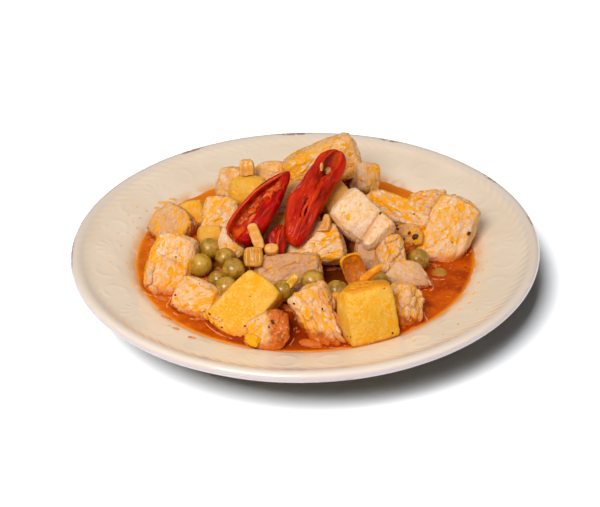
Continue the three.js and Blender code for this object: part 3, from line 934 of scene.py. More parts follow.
def make_chili(node, place, wrinkled, ripe_and_crest_light, seed, fleshy=1.0, creases=(), stations=150, arc=70, **sizes):
    local, rows, loop = shell(stations, arc, **sizes)
    length, sunk, lip = rows.T
    turned = np.array(place.to_3x3())
    points = local @ turned.T + np.array(place.translation)
    thing = new_thing(node + "_food", points, ring_faces(stations - 1, loop))
    grain = turned @ np.array([1, 0, 0])
    normals = normals_of(thing)
    dents = lumps(along_grain(points, grain, 2.5), 5.5, seed, 2) * 0.5
    folds = lumps(along_grain(points, grain, 5.0), 3.4, seed + 1) * 1.7 * wrinkled
    puckers = lumps(along_grain(points, grain, 4.0), 1.5, seed + 2, 2) * 0.4 * wrinkled
    fade = np.sin(np.pi * np.clip(length, 0.02, 0.98)) ** 0.5
    outward = np.where(sunk > 0.5, -1, 1)
    # Folds push both faces of the wall the same way, so that the wall keeps its thickness.
    shaped = points + normals * ((dents + folds + puckers) * fade * outward)[:, None]
    slit_shade = np.zeros(len(points))
    for start, end, deep, width in creases:
        crease = groove(points, normals, start, end, width) * (sunk < 0.5)
        shaped -= normals * (deep * crease)[:, None]
        # Only the deepest fold, the slit, is painted dark as its shade.
        slit_shade = np.maximum(slit_shade, smooth_step(1.5, 2.0, deep) * smooth_step(0.35, 0.7, crease))
    move_points(thing, shaped)
    paint(thing, "grain", along_grain(shaped, grain, 6.0) + seed)
    paint(thing, "inside", sunk * fleshy)
    paint(thing, "lip", lip)
    paint(thing, "slit_shade", slit_shade)
    # Fold crests are painted riper and lighter and the valleys darker, as painted light and shade over the
    # real streaks.
    crest = (folds + puckers) / max(wrinkled, 0.3)
    streaks = 0.5 * crest + 0.4 * lumps(shaped, 6.0, seed + 3, 2)
    paint(thing, "ripe_and_crest_light", np.clip(ripe_and_crest_light + streaks * (0.35 + 0.65 * wrinkled), 0, 1))
    return stands_for(thing, "chili", chili_material, node)


# Folds of the right half: where each starts and ends in the picture, its depth and its width.
CREASES = [
    ((319, 184), (307, 199), 1.2, 0.7),
    ((307, 197), (301, 216), 2.4, 0.55),
    ((313, 200), (308, 224), 0.8, 0.8),
    ((297, 190), (291, 214), 0.8, 0.9),
    ((306, 172), (298, 189), 0.6, 0.7),
    ((296, 217), (291, 234), 0.7, 0.8),
    ((322, 190), (313, 206), 0.8, 0.8),
]
EVEN = ((1, 1), (1, 1))
UNEVEN = ((1, 1.02, 1.02, 0.96, 0.86, 0.8, 0.86, 0.96, 1), (0.9, 0.82, 0.72, 0.6, 0.52, 0.66, 0.9, 1, 1))

right_half = dict(long=52, wide=19, high=12, bend=2, blunt=1.05, full=0.4, roll=8, sides=UNEVEN)
right_half |= dict(mouth=(0, 0, 8, 22, 16, 3, 6, 40, 66, 74, 80), fleshy=0.45, creases=CREASES)
left_half = dict(long=40, wide=22, high=13, bend=1, blunt=0.55, full=0.55, roll=-34, sides=EVEN)
left_half |= dict(mouth=(60, 88, 86, 76, 64, 48, 30), wall=1.7)
scrap = dict(long=14, wide=8, high=6, bend=1.5, blunt=0.9, full=0.45, roll=0, sides=EVEN)
scrap |= dict(mouth=(20, 4, 0, 10, 50), wall=1.4, stations=60, arc=30)

right_place = lie((6, -3.5, 51.5), (5, 57), 62)
left_place = lie((-19.4, -6, 48.3), (-12, 48), 61)
scrap_place = lie((-10.2, -21, 38.2), (10, 40), 74)
chilies = [
    make_chili("chili_half_right", right_place, wrinkled=1.0, ripe_and_crest_light=0.35, seed=7, **right_half),
    make_chili("chili_half_left", left_place, wrinkled=0.35, ripe_and_crest_light=0.0, seed=9, **left_half),
    make_chili("chili_scrap", scrap_place, wrinkled=1.0, ripe_and_crest_light=0.2, seed=11, **scrap),
]
print("chilies:", [len(c.data.polygons) for c in chilies], "faces")

# %% [markdown]
# ## Onion and carrot
# Soft scraps of onion lie on the heap, translucent and amber, with the ribs that run along an onion's
# layers. A curl and a strip of carrot are a clearer orange. Both are thin, so light passing through them
# matters more than their surface: they get a strong subsurface share.

# %% Vegetable finishes


def scrap_finish(name, deep, light, seed, through):
    material, tree, shader = finish_of(name)
    where = place_in_mm(tree)
    ribs = noise(tree, painted(tree, "grain", "Vector"), 1.3, 1.0)
    broad = noise(tree, where, 3.0, 2.0)
    flesh = layered(
        tree,
        deep,
        (spread(tree, math_of(tree, "ADD", ribs, broad), 0.65, 1.35), light),
        (painted(tree, "rim"), light),
        (painted(tree, "lemon"), (216, 168, 16)),
        (painted(tree, "brown"), (176, 80, 6)),
        (use_group(tree, oil_flecks, Place=where, Size=1.6, Amount=0.4, Seed=seed), (240, 140, 8), 0.5),
    )
    connect(tree, shader, base_color=flesh, roughness=spread(tree, broad, 0.3, 0.7, 0.22, 0.4))
    connect(tree, shader, normal=bump(tree, ribs, 0.1), subsurface_weight=through, subsurface_scale=0.003)
    connect(tree, shader, subsurface_radius=(1.0, 0.5, 0.15), specular_ior_level=0.3)
    return material


onion_material = scrap_finish("cooked onion", (234, 156, 56), (246, 192, 104), 7.0, 0.3)
carrot_material = scrap_finish("cooked carrot", (220, 122, 2), (246, 164, 10), 8.0, 0.2)
print("finishes:", onion_material.name, "and", carrot_material.name)

# %% Shape the scraps
# Where the ribs run in the picture in degrees, how tanned and how lemon-coloured the scrap is, how often it
# is smoothed, how deep its ribs are, and how much wider it is than its solid.
SCRAPS = {
    "onion_on_chili": (115, 0.2, 0.0, 20, 0.08, 1.0),
    "onion_ribbed": (95, 0.42, 0.7, 48, 0.03, 1.0),
    "onion_on_chicken": (70, 0.4, 0.0, 20, 0.08, 1.2),
    "onion_standing": (90, 0.1, 0.0, 20, 0.08, 1.0),
    "onion_yellow": (10, 0.15, 0.0, 20, 0.08, 1.0),
    "onion_skin": (50, 0.0, 0.85, 20, 0.08, 1.0),
    "carrot_curl": (95, 0.0, 0.0, 20, 0.08, 1.0),
    "carrot_strip": (35, 0.0, 0.0, 20, 0.08, 1.0),
}
SCRAP_CELL = 0.32


def make_scrap(node, seed):
    run, tanned, lemon, rounding, rib_depth, wider = SCRAPS[node]
    kind = node.split("_")[0]
    grain = picture_direction(run)
    thing = fine_skin(node, SCRAP_CELL, rounding)
    points, normals = points_of(thing), normals_of(thing)
    ribs = lumps(along_grain(points, grain, 8.0), 1.6, seed) * rib_depth
    ragged = lumps(points, 3.0, seed + 1, 2) * 0.35
    middle = points.mean(0)
    reach = np.linalg.norm(points - middle, axis=1)
    rim = smooth_step(0.72, 1.0, reach / reach.max())
    # The curl is a loop: its middle lies lower than its edge, and is browner.
    curled = node == "carrot_curl"
    hollow = 0.9 * (1 - rim) * curled
    points = middle + (points - middle) * wider
    shaped = points + normals * (ribs + ragged - hollow)[:, None]
    move_points(thing, shaped)
    paint(thing, "grain", along_grain(shaped, grain, 6.0))
    paint(thing, "rim", rim * 0.8)
    paint(thing, "lemon", lemon)
    paint(thing, "brown", (1 - rim) * 0.75 if curled else tanned)
    return stands_for(thing, kind, onion_material if kind == "onion" else carrot_material, node)


scraps = [make_scrap(node, 3000 + 10 * index) for index, node in enumerate(SCRAPS)]
print("scraps:", len(scraps))

# %% [markdown]
# ## Plate
# The plate is turned on a wheel, so its whole form is one outline spun round the middle: the foot, the
# underside, a rolled lip, the sloping rim and the well. Spinning it in small steps also lets the rim carry
# a low moulded pattern of fans, rings and leaves, which is pressed in before glazing.

# %% The plate's outline
PLATE_RADIUS = 105
PLATE_HEIGHT = 28
LIP = 2.8
WELL_RADIUS = 78
WELL_SHOULDER = 19.6
WELL_FLOOR_RADIUS = 56
WELL_FLOOR = 8
WELL_CURVE = 1.7
SAUCE_LEVEL = 18


def well_height(radius):
    t = np.clip((radius - WELL_FLOOR_RADIUS) / (WELL_RADIUS - WELL_FLOOR_RADIUS), 0, 1)
    return WELL_FLOOR + (WELL_SHOULDER - WELL_FLOOR) * t**WELL_CURVE


def plate_outline(step=0.6):
    lip_centre = np.array([PLATE_RADIUS - LIP, PLATE_HEIGHT - LIP])
    lip_angles = np.radians(np.linspace(-60, 120, 16))
    lip = lip_centre + LIP * np.stack([np.cos(lip_angles), np.sin(lip_angles)], 1)
    well = np.linspace(WELL_RADIUS, WELL_FLOOR_RADIUS, 24)
    foot = [(0, 2.5), (51, 2.5), (51.8, 0), (55.2, 0), (56, 2.6)]
    under = [(64, 5.6), (80, 15)]
    corners = [*foot, *under, *lip, (97.5, 25.1), (84, 21.6)]
    corners += [*zip(well, well_height(well)), (0, WELL_FLOOR)]
    corners = np.array(corners)
    gaps = np.linalg.norm(np.diff(corners, axis=0), axis=1)
    path = np.concatenate([[0], np.cumsum(gaps)])
    even = np.linspace(0, path[-1], int(path[-1] / step))
    line = np.stack([np.interp(even, path, corners[:, k]) for k in (0, 1)], 1)
    free = (even > path[len(foot)]) & (line[:, 0] > 1)
    for _ in range(24):
        eased = line.copy()
        eased[1:-1] = (line[:-2] + line[1:-1] * 2 + line[2:]) / 4
        line[free] = eased[free]
    line[0, 0] = line[-1, 0] = 0
    return line


outline = plate_outline()
print("outline:", len(outline), "points, radius", round(float(outline[:, 0].max()), 2))

# %% Press the pattern into the rim
RELIEF = 0.15
# A fan of rays opens outward from a foot on the rim, and a ring lies on each side of it.
FANS = 10
FAN_RADIUS = 90
FAN_FOOT = 82
FAN_HUB = 3
FAN_REACH = 11.5
FAN_TILTS = np.radians([-66, -44, -22, 0, 22, 44, 66])
RAY_WIDTH = 1.5
RING_ASIDE, RING_UP = 19, 7
RING_RADIUS = 5.2
RING_WIDTH = 1.1
# Slanted leaves follow each other along the lip.
LEAVES = 110
LEAF_RADIUS = 98
LEAF_LENGTH = 2.6
LEAF_WIDTH = 1.1
LEAF_HEIGHT = 1.3
LEAF_SLANT = 0.014


def stroke(across, up, start, end, width):
    """1 along a straight stroke between two points and 0 away from it."""
    start, end = np.array(start), np.array(end)
    way = end - start
    share = np.clip(((across - start[0]) * way[0] + (up - start[1]) * way[1]) / (way @ way), 0, 1)
    far = np.hypot(across - start[0] - share * way[0], up - start[1] - share * way[1])
    return np.exp(-((far / (width * (0.35 + 0.65 * np.sin(np.pi * share)))) ** 2))


def within(angle, count):
    """The angle from the middle of the one of that many equal sectors in which it lies."""
    sector = 2 * np.pi / count
    return (angle + sector / 2) % sector - sector / 2


def rim_relief(radius, angle):
    across, up = within(angle, FANS) * FAN_RADIUS, radius - FAN_FOOT
    height = np.zeros_like(radius)
    for tilt in FAN_TILTS:
        reach = FAN_REACH - 3.0 * abs(tilt)
        ends = [(math.sin(tilt) * far, 1 + math.cos(tilt) * far) for far in (FAN_HUB, reach)]
        height = np.maximum(height, stroke(across, up, *ends, RAY_WIDTH))
    for side in (-1, 1):
        from_ring = np.hypot(across - side * RING_ASIDE, up - RING_UP)
        sweep = np.arctan2(up - RING_UP, (across - side * RING_ASIDE) * side)
        line = np.exp(-(((from_ring - RING_RADIUS) / RING_WIDTH) ** 2))
        height = np.maximum(height, line * smooth_step(2.6, 2.2, np.abs(sweep)))
    aside = within(angle - (radius - 97.5) * LEAF_SLANT, LEAVES) * 97
    leaf = np.exp(-((aside / LEAF_WIDTH) ** 2)) * np.exp(-(((radius - LEAF_RADIUS) / LEAF_LENGTH) ** 2))
    height = np.maximum(height, LEAF_HEIGHT * leaf)
    return height * RELIEF * smooth_step(79.5, 82, radius) * smooth_step(102, 100, radius)


print("fans:", FANS, "leaves:", LEAVES)

# %% Plate finish


def plate_finish():
    material, tree, shader = finish_of("cream glaze")
    where = place_in_mm(tree)
    broad = noise(tree, where, 26.0, 2.0)
    ragged = spread(tree, noise(tree, where, 2.2, 3.0), 0.3, 0.5)
    glaze = layered(
        tree,
        (243, 224, 198),
        (spread(tree, broad, 0.3, 0.7), (238, 217, 190)),
        (painted(tree, "lip"), (232, 214, 196)),
        # The lip's outward and downward facing part is painted a lilac grey as its shade.
        (painted(tree, "outward"), (192, 177, 178)),
        (painted(tree, "pooled"), (236, 176, 104)),
        (times(tree, painted(tree, "worn"), ragged), (158, 88, 56), 0.85),
    )
    connect(tree, shader, base_color=glaze, roughness=spread(tree, broad, 0.3, 0.7, 0.16, 0.24))
    connect(tree, shader, normal=bump(tree, noise(tree, where, 7.0, 2.0), 0.06))
    connect(tree, shader, coat_weight=0.35, coat_roughness=0.06)
    return material


plate_material = plate_finish()
print("finish:", plate_material.name)

# %% Spin the plate
PLATE_STEPS = 720


def spin(line, steps):
    """The points of an outline's rings, and its two ends on the axis."""
    angles = np.arange(steps) * 2 * np.pi / steps
    out, up = line[1:-1].T
    rings = [np.outer(out, np.cos(angles)), np.outer(out, np.sin(angles)), np.outer(up, np.ones(steps))]
    poles = [(0, 0, line[0, 1]), (0, 0, line[-1, 1])]
    return np.vstack([np.stack(rings, axis=2).reshape(-1, 3), poles])


plate_points = spin(outline, PLATE_STEPS)
plate = new_thing("plate_glazed", plate_points, ring_faces(len(outline) - 2, PLATE_STEPS))
radius = np.hypot(plate_points[:, 0], plate_points[:, 1])
angle = np.arctan2(plate_points[:, 1], plate_points[:, 0])
plate_up = normals_of(plate)
top_side = (plate_up[:, 2] > 0.2) & (plate_points[:, 2] > 15)
relief = np.where(top_side, rim_relief(radius, angle), 0)
hand_turned = lumps(plate_points, 40.0, 5, 2) * 0.25 * smooth_step(60, 100, radius)
hand_turned *= plate_points[:, 2] > 1
move_points(plate, plate_points + plate_up * relief[:, None] + (0, 0, 1) * hand_turned[:, None])
print("plate:", len(plate.data.polygons), "faces")

# %% Paint shade under the lip, wear it and splash the wall
LIP_CENTRE = (PLATE_RADIUS - LIP, PLATE_HEIGHT - LIP)
LIP_START = PLATE_RADIUS - 2 * LIP
edge_angle = np.degrees(np.arctan2(plate_points[:, 2] - LIP_CENTRE[1], radius - LIP_CENTRE[0]))
on_lip = smooth_step(LIP_START - 1.5, LIP_START, radius)
paint(plate, "lip", on_lip)
# Painted shade: the outward and downward facing part of the lip is darker.
paint(plate, "outward", on_lip * smooth_step(55, 0, edge_angle))

# The glaze has worn off along the outermost edge, as it shows from the front, and most at a few spots of
# the picture, each with its reach in millimetres.
WORN_SPOTS = [
    (295, 133, 7),
    (390, 139, 5),
    (192, 151, 6),
    (70, 255, 8),
    (490, 180, 4),
    (529, 221, 3),
    (352, 385, 2),
]
bare = 0.3 + 0.15 * smooth_step(0.0, 0.5, lumps(plate_points, 22.0, 8, 2))
for across, down, reach in WORN_SPOTS:
    from_sight = np.linalg.norm(np.cross(plate_points - np.array(eye), np.array(sight(across, down))), axis=1)
    bare = bare + np.exp(-((from_sight / reach) ** 2))
bare = np.clip(bare, 0, 1)
outermost = np.degrees(np.arctan(np.sin(angle) / math.tan(VIEW_ELEVATION)))
inward = edge_angle - outermost
edge_line = smooth_step(8 + 70 * bare, 70 * bare - 12, inward) * smooth_step(-50, -30, inward)
paint(plate, "worn", on_lip * edge_line * (0.6 + 0.4 * bare))
splash = smooth_step(0.0, 0.5, lumps(plate_points, 6.0, 9, 3) + 0.25)
paint(plate, "pooled", np.where(top_side, smooth_step(21.0, 18.2, plate_points[:, 2]) * splash * 0.8, 0))
stands_for(plate, "plate_glaze", plate_material, "plate")
print("worn spots:", len(WORN_SPOTS))

# %% [markdown]
# ## Sauce
# The liquor fills the well to its level. It climbs a little where it wets the plate and every piece that
# stands in it, and its skin is never quite flat. One surface is spun over the whole well. How far each
# point lies from the food and how deep the liquor is below it set its height and, with its place in the
# plate, its colour.

# %% Sauce finish


def sauce_finish():
    material, tree, shader = finish_of("orange liquor")
    where = place_in_mm(tree)
    near_food = painted(tree, "near_food")
    swirl = noise(tree, where, 9.0, 3.0, 0.6)
    fine = noise(tree, where, 2.2, 3.0, 0.3)
    deep = layered(
        tree,
        (204, 84, 2),
        (spread(tree, swirl, 0.35, 0.65), (166, 54, 0)),
        (spread(tree, fine, 0.52, 0.7, 0.0, 0.5), (226, 108, 2)),
        # Painted light at the open back and left, painted shade between the front pieces and deep among them.
        (painted(tree, "painted_light"), (244, 130, 0), 0.85),
        (painted(tree, "front_shade"), (140, 44, 2)),
        (painted(tree, "pocket"), (74, 30, 4)),
    )
    # Where the liquor bends up to a piece, a thin broken painted highlight stands for the lamp mirrored in
    # it.
    line = times(tree, spread(tree, near_food, 0.27, 0.32), spread(tree, near_food, 0.41, 0.36))
    line = times(tree, line, spread(tree, noise(tree, where, 6.0, 2.0), 0.5, 0.56))
    liquor = layered(
        tree,
        (240, 142, 28),
        (painted(tree, "depth"), deep),
        # Next to the pieces the liquor is painted darker, as their shade.
        (near_food, (166, 52, 2), 0.6),
        (line, (248, 186, 140), 0.6),
    )
    connect(tree, shader, base_color=liquor, roughness=spread(tree, fine, 0.3, 0.7, 0.06, 0.16))
    connect(tree, shader, normal=bump(tree, math_of(tree, "ADD", swirl, fine), 0.25))
    connect(tree, shader, specular_ior_level=0.08)
    return material


sauce_material = sauce_finish()
print("finish:", sauce_material.name)

# %% Pour the sauce
SAUCE_STEPS = 640
SAUCE_GAP = 0.75
CLIMB = 0.8
OFF_WALL = 0.15


def joined_tree(things):
    """One search tree over the surfaces of several things."""
    corners, faces, start = [], [], 0
    for thing in things:
        corners.append(points_of(thing))
        faces += [tuple(i + start for i in face.vertices) for face in thing.data.polygons]
        start += len(thing.data.vertices)
    return BVHTree.FromPolygons(np.vstack(corners).tolist(), faces)


food_tree = joined_tree([*chicken, *potatoes, *peas])


def sauce_outline(seed=21):
    """How far the liquor reaches up the wall at every step round the plate."""
    angles = np.arange(SAUCE_STEPS) * 2 * np.pi / SAUCE_STEPS
    ring = np.stack([np.cos(angles), np.sin(angles), angles * 0], 1) * WELL_RADIUS
    climb = SAUCE_LEVEL + 0.35 + 0.45 * lumps(ring, 14.0, seed, 2) + 0.5 * lumps(ring, 4.0, seed + 1, 3)
    share = ((climb - WELL_FLOOR) / (WELL_SHOULDER - WELL_FLOOR)) ** (1 / WELL_CURVE)
    return angles, WELL_FLOOR_RADIUS + (WELL_RADIUS - WELL_FLOOR_RADIUS) * share, climb


def pour():
    angles, edge, climb = sauce_outline()
    shares = np.linspace(0, 1, int(edge.mean() / SAUCE_GAP))[1:]
    flat = np.stack([np.outer(shares, edge * np.cos(angles)), np.outer(shares, edge * np.sin(angles))], 2)
    flat = flat.reshape(-1, 2)
    at_level = np.column_stack([flat, np.full(len(flat), SAUCE_LEVEL)])
    gap, inside = np.empty(len(flat)), np.empty(len(flat), bool)
    for index, point in enumerate(at_level):
        spot, normal, _, distance = food_tree.find_nearest(point)
        gap[index] = distance
        inside[index] = (Vector(point) - spot).dot(normal) < 0
    gap[inside] = 0
    from_wall = (1 - np.repeat(shares, SAUCE_STEPS)) * edge.mean()
    ripple = 0.16 * lumps(at_level, 6.0, 22, 2) + 0.05 * lumps(at_level, 2.0, 23)
    wet_food = CLIMB * (0.8 + 0.5 * lumps(at_level, 3.0, 24)) * np.exp(-gap / 0.9) * ~inside
    wet_wall = (np.tile(climb, len(shares)) - SAUCE_LEVEL) * np.exp(-from_wall / 1.0)
    level = SAUCE_LEVEL + ripple * np.clip(from_wall / 2, 0, 1) + wet_food + wet_wall
    level[inside] -= 0.6
    level[-SAUCE_STEPS:] -= 0.45
    deepest = level - well_height(np.hypot(*flat.T))
    return flat, level, deepest, gap, angles, edge


flat, level, deepest, food_gap, angles, edge = pour()
bottom_shares = np.linspace(1, 0, 14)[1:-1]
bottom = [(share * edge * 0.99, well_height(share * edge) + OFF_WALL) for share in bottom_shares]
bottom_rings = [np.stack([r * np.cos(angles), r * np.sin(angles), z], 1) for r, z in bottom]
top_rings = np.column_stack([flat, level]).reshape(-1, SAUCE_STEPS, 3)
sauce_points = np.vstack([*top_rings, *bottom_rings, [[0, 0, SAUCE_LEVEL]], [[0, 0, WELL_FLOOR + OFF_WALL]]])
sauce = new_thing("sauce_liquor", sauce_points, ring_faces(len(top_rings) + len(bottom_rings), SAUCE_STEPS))
print("sauce:", len(sauce.data.polygons), "faces, level", round(float(np.median(level)), 2))

# %% Colour the sauce by its depth and place
across, away, _ = sauce_points.T
rest = len(sauce_points) - len(flat)
paint(sauce, "depth", np.append(smooth_step(0.1, 1.5, deepest), np.ones(rest)))
paint(sauce, "near_food", np.append(np.exp(-food_gap / 1.6), np.zeros(rest)))
# Painted light makes it brightest at the back and on the left, where it lies open, and painted shade dulls it
# between the front pieces.
paint(sauce, "painted_light", np.clip(smooth_step(5, 60, away) + 0.5 * smooth_step(30, 75, -across), 0, 1))
among_front = np.hypot(across + 4, (away + 60) * 1.6)
paint(sauce, "front_shade", smooth_step(36, 14, among_front) * 0.95)
# Deep between the pieces hardly any light reaches it.
crowd = np.hypot(across - 4, away + 2)
paint(sauce, "pocket", smooth_step(50, 36, crowd) * 0.85)
stands_for(sauce, "sauce", sauce_material, "sauce")
print("share of shallow points:", round(float((deepest < 1.5).mean()), 2))

# %% [markdown]
# ## Small things
# Around the big chunks lie shreds and crumbs of meat, grains of pepper, bits of dried herb, drops of oil
# on the rim, and seeds in the chilies. Each is a small uneven lump, laid on what carries it at the spot of
# the picture where it shows, half sunk and turned along the surface. One mesh holds all of a kind.

# %% Find what shows at a spot of the picture
heap = joined_tree([*chicken, *potatoes, *peas, *chilies, *scraps, sauce, plate])


def seen_at(across, down):
    """The point of the heap that shows at a spot of the picture, and the way its surface faces."""
    spot, normal, _, _ = heap.ray_cast(eye, sight(across, down))
    return np.array(spot), np.array(normal)


bpy.ops.mesh.primitive_ico_sphere_add(subdivisions=4, radius=1.0)
round_lump = bpy.context.object
BALL = points_of(round_lump) * MM
BALL_FACES = [tuple(face.vertices) for face in round_lump.data.polygons]
bpy.data.objects.remove(round_lump)


def lump_on(spot, normal, length, width, thick, degrees, seed, ragged=0.3, sunk=0.3, square=0.75):
    """Points of one uneven lump on a spot, its length along that direction in the picture."""
    along = picture_direction(degrees)
    along = along - normal * (along @ normal)
    along /= np.linalg.norm(along)
    aside = np.cross(normal, along)
    body = np.sign(BALL) * np.abs(BALL) ** square
    body = body * (1 + ragged * lumps(BALL, 0.8, seed, 3))[:, None] * (length / 2, width / 2, thick / 2)
    bent = body[:, :1] ** 2 / length * 0.3 * math.sin(seed)
    frame_of_lump = np.stack([along, aside, normal])
    return spot + normal * thick * (0.5 - sunk) + (body + (0, 1, 0) * bent) @ frame_of_lump


def in_one_mesh(name, parts):
    faces = [tuple(i + len(BALL) * k for i in face) for k in range(len(parts)) for face in BALL_FACES]
    return new_thing(name, np.vstack(parts), faces)


def lay(name, slot, material, rows, attribute=None, **habits):
    """One mesh of lumps. A row holds the spot in the picture, length, width, thickness and direction, and
    where an attribute is named, its value."""
    parts = []
    for index, (across, down, length, width, thick, degrees, *_) in enumerate(rows):
        part = lump_on(*seen_at(across, down), length, width, thick, degrees, 500 + index, **habits)
        parts.append(part)
    thing = in_one_mesh(name, parts)
    if attribute:
        paint(thing, attribute, np.repeat([row[6] if len(row) > 6 else 0.0 for row in rows], len(BALL)))
    return stands_for(thing, slot, material)


print("a lump has", len(BALL), "points")

# %% [markdown]
# ### Shreds of meat
# Long scraps have come off the cubes and lie half sunk in the gaps and along the edge of the liquor. They
# share the chicken's finish, so they need the same painted values.

# %% Lay the shreds
# Where in the picture, length, width and thickness in mm, direction in degrees, and how soaked.
SHREDS = [
    (310, 344, 9.5, 4.0, 3.0, -30, 0.45),
    (283, 306, 6.5, 2.8, 2.2, 160, 0.45),
    (290, 310, 5.0, 2.4, 2.0, 150, 0.6),
    (330, 268, 6.0, 5.0, 3.0, 20, 0.5),
    (323, 297, 8.0, 2.4, 2.0, -62, 0.3),
    (339, 337, 7.5, 2.2, 1.6, -48, 0.2),
    (152, 266, 3.6, 1.4, 1.1, 80, 0.4),
    (147, 284, 3.0, 1.3, 1.0, 70, 0.5),
    (156, 301, 4.0, 1.3, 1.1, -60, 0.4),
    (166, 318, 4.5, 1.4, 1.1, -50, 0.5),
    (160, 310, 2.6, 1.3, 1.0, 0, 0.2),
    (143, 262, 2.6, 1.2, 0.9, 90, 0.4),
    (176, 329, 3.2, 1.2, 0.9, -40, 0.4),
    (192, 338, 3.6, 1.1, 0.9, -20, 0.5),
    (424, 273, 4.0, 1.3, 1.1, -60, 0.2),
    (429, 282, 3.5, 1.1, 1.0, -70, 0.2),
    (420, 288, 4.0, 1.4, 1.1, -45, 0.4),
    (421, 318, 4.0, 1.3, 1.1, 60, 0.4),
    (414, 327, 3.5, 1.2, 1.0, 40, 0.5),
    (427, 309, 3.0, 1.1, 0.9, 80, 0.3),
    (449, 297, 2.8, 0.9, 0.7, -20, 0.0),
    (152, 243, 5.5, 2.6, 1.6, 75, 0.15),
    (149, 254, 5.0, 2.4, 1.5, 95, 0.3),
    (151, 268, 6.5, 3.4, 2.0, 85, 0.0),
    (150, 279, 5.5, 3.0, 1.8, 70, 0.1),
    (155, 291, 6.0, 3.2, 2.0, -60, 0.0),
    (163, 299, 5.0, 2.8, 1.8, -40, 0.15),
    (148, 238, 3.0, 1.6, 1.2, 60, 0.4),
    (215, 317, 3.4, 1.8, 1.2, -30, 0.0),
    (220, 320, 2.2, 1.4, 1.0, 0, 0.0),
]


def paint_meat(thing, oily, rosy_and_shade):
    paint(thing, "grain", points_of(thing))
    # Shreds and crumbs get the rosy tone, which carries painted shade, and a little of the gaps' painted
    # shade.
    for attribute, value in (("oily", oily), ("rosy_and_shade", rosy_and_shade), ("gap", 0.1), ("coarse", 1.0)):
        paint(thing, attribute, value)


shreds = lay("chicken_shreds", "chicken", chicken_material, SHREDS, "soaked", sunk=0.35)
paint_meat(shreds, oily=0.4, rosy_and_shade=0.35)
print("shreds:", len(SHREDS))

# %% Drop crumbs into the liquor
CRUMBS = 90
draw = np.random.default_rng(77)
shore = []
while len(shore) < CRUMBS:
    around, out = draw.uniform(0, 2 * np.pi), draw.uniform(40, 75)
    place = Vector((math.cos(around) * out, math.sin(around) * out, SAUCE_LEVEL + 0.2))
    nearest, _, _, gap = food_tree.find_nearest(place)
    if 0.3 < gap < 2.6:
        shore.append((np.array(place), draw.uniform(0.7, 1.9), draw.uniform(0, 180)))
crumbs = [
    lump_on(spot, np.array([0, 0, 1.0]), size * 1.5, size, size * 0.7, degrees, 900 + k, ragged=0.4)
    for k, (spot, size, degrees) in enumerate(shore)
]
crumb_mesh = in_one_mesh("chicken_crumbs", crumbs)
paint_meat(crumb_mesh, oily=0.6, rosy_and_shade=0.3)
paint(crumb_mesh, "soaked", np.repeat(draw.uniform(0.2, 0.8, CRUMBS), len(BALL)))
stands_for(crumb_mesh, "chicken", chicken_material)
print("crumbs:", CRUMBS)

# %% [markdown]
# ### Pepper and herbs
# Cracked pepper is almost black and angular, dried herb is a dark olive flake. A handful of grains can be
# told apart in the picture, and the finest are strewn at random over food and liquor.

# %% Strew pepper and herbs


def mottled_finish(name, size, first, second, rough, relief=None, **shine):
    """Two tones in spots of that many millimetres, for the smallest things."""
    material, tree, shader = finish_of(name)
    mottle = noise(tree, place_in_mm(tree), size, 2.0)
    tone = mix(tree, spread(tree, mottle, 0.35, 0.65), first, second)
    connect(tree, shader, base_color=tone, roughness=spread(tree, mottle, 0.3, 0.7, *rough), **shine)
    if relief:
        connect(tree, shader, normal=bump(tree, mottle, relief))
    return material


PEPPER_SIZE = 0.8
# Where in the picture, length, width and thickness in mm, and direction in degrees.
SEASONING = [
    (415, 237, 3.2, 2.4, 1.2, 20),
    (409, 233, 1.6, 1.2, 0.9, 70),
    (380, 213, 1.6, 1.0, 0.7, 40),
    (398, 229, 2.0, 1.3, 0.9, -20),
    (404, 239, 1.4, 1.1, 0.8, 10),
    (414, 214, 0.9, 0.7, 0.5, 0),
    (468.5, 233.5, 2.1, 1.9, 1.6, 50),
    (466, 267.5, 1.3, 1.0, 0.8, 0),
    (456, 289.5, 1.1, 0.9, 0.7, 30),
    (392.5, 333, 1.1, 0.9, 0.6, 30),
    (209.5, 314, 1.6, 0.8, 0.5, -40),
    (222, 327.5, 1.2, 0.8, 0.5, -30),
    (245, 326, 1.3, 0.8, 0.5, 10),
    (322.5, 309, 1.3, 1.0, 0.6, 80),
    (294, 303.5, 1.2, 0.8, 0.5, 0),
    (272.5, 321.5, 2.6, 1.4, 0.7, -60),
    (269, 327, 1.4, 0.8, 0.5, -70),
    (176, 257, 1.1, 0.8, 0.5, 0),
    (175.5, 295, 1.3, 0.9, 0.6, 30),
]
# The finest grains: how many, and the part of the picture and the oval in it that they keep to.
DUST = 24
DUST_ACROSS = (150, 478)
DUST_DOWN = (150, 345)
DUST_MIDDLE = (308, 265)
DUST_REACH = (165, 82)
wanted = len(SEASONING) + DUST
draw = np.random.default_rng(78)
while len(SEASONING) < wanted:
    spot = (draw.uniform(*DUST_ACROSS), draw.uniform(*DUST_DOWN))
    if np.hypot(*(np.subtract(spot, DUST_MIDDLE) / DUST_REACH)) < 1:
        size = draw.uniform(0.3, 0.6)
        SEASONING.append((*spot, size * 1.3, size, size * 0.7, draw.uniform(0, 180)))
SEASONING = [(*row[:2], *(size * PEPPER_SIZE for size in row[2:5]), row[5]) for row in SEASONING]
pepper_tones = (48, 26, 8), (122, 76, 26)
pepper = mottled_finish("pepper and herbs", 0.5, *pepper_tones, (0.5, 0.7), 0.2, specular_ior_level=0.1)
lay("seasoning", "sauce", pepper, SEASONING, ragged=0.5, square=0.6)
print("pepper and herbs:", len(SEASONING))

# %% [markdown]
# ### Loose scraps, seeds and drops
# A thin slice of carrot lies on one front potato, crumbs lie by a corner of the other, and a burst pea
# behind the white cube. Inside the chilies show seeds and the orange pith that they hung on. Drops of oil
# splashed onto the rim when the plate was filled.

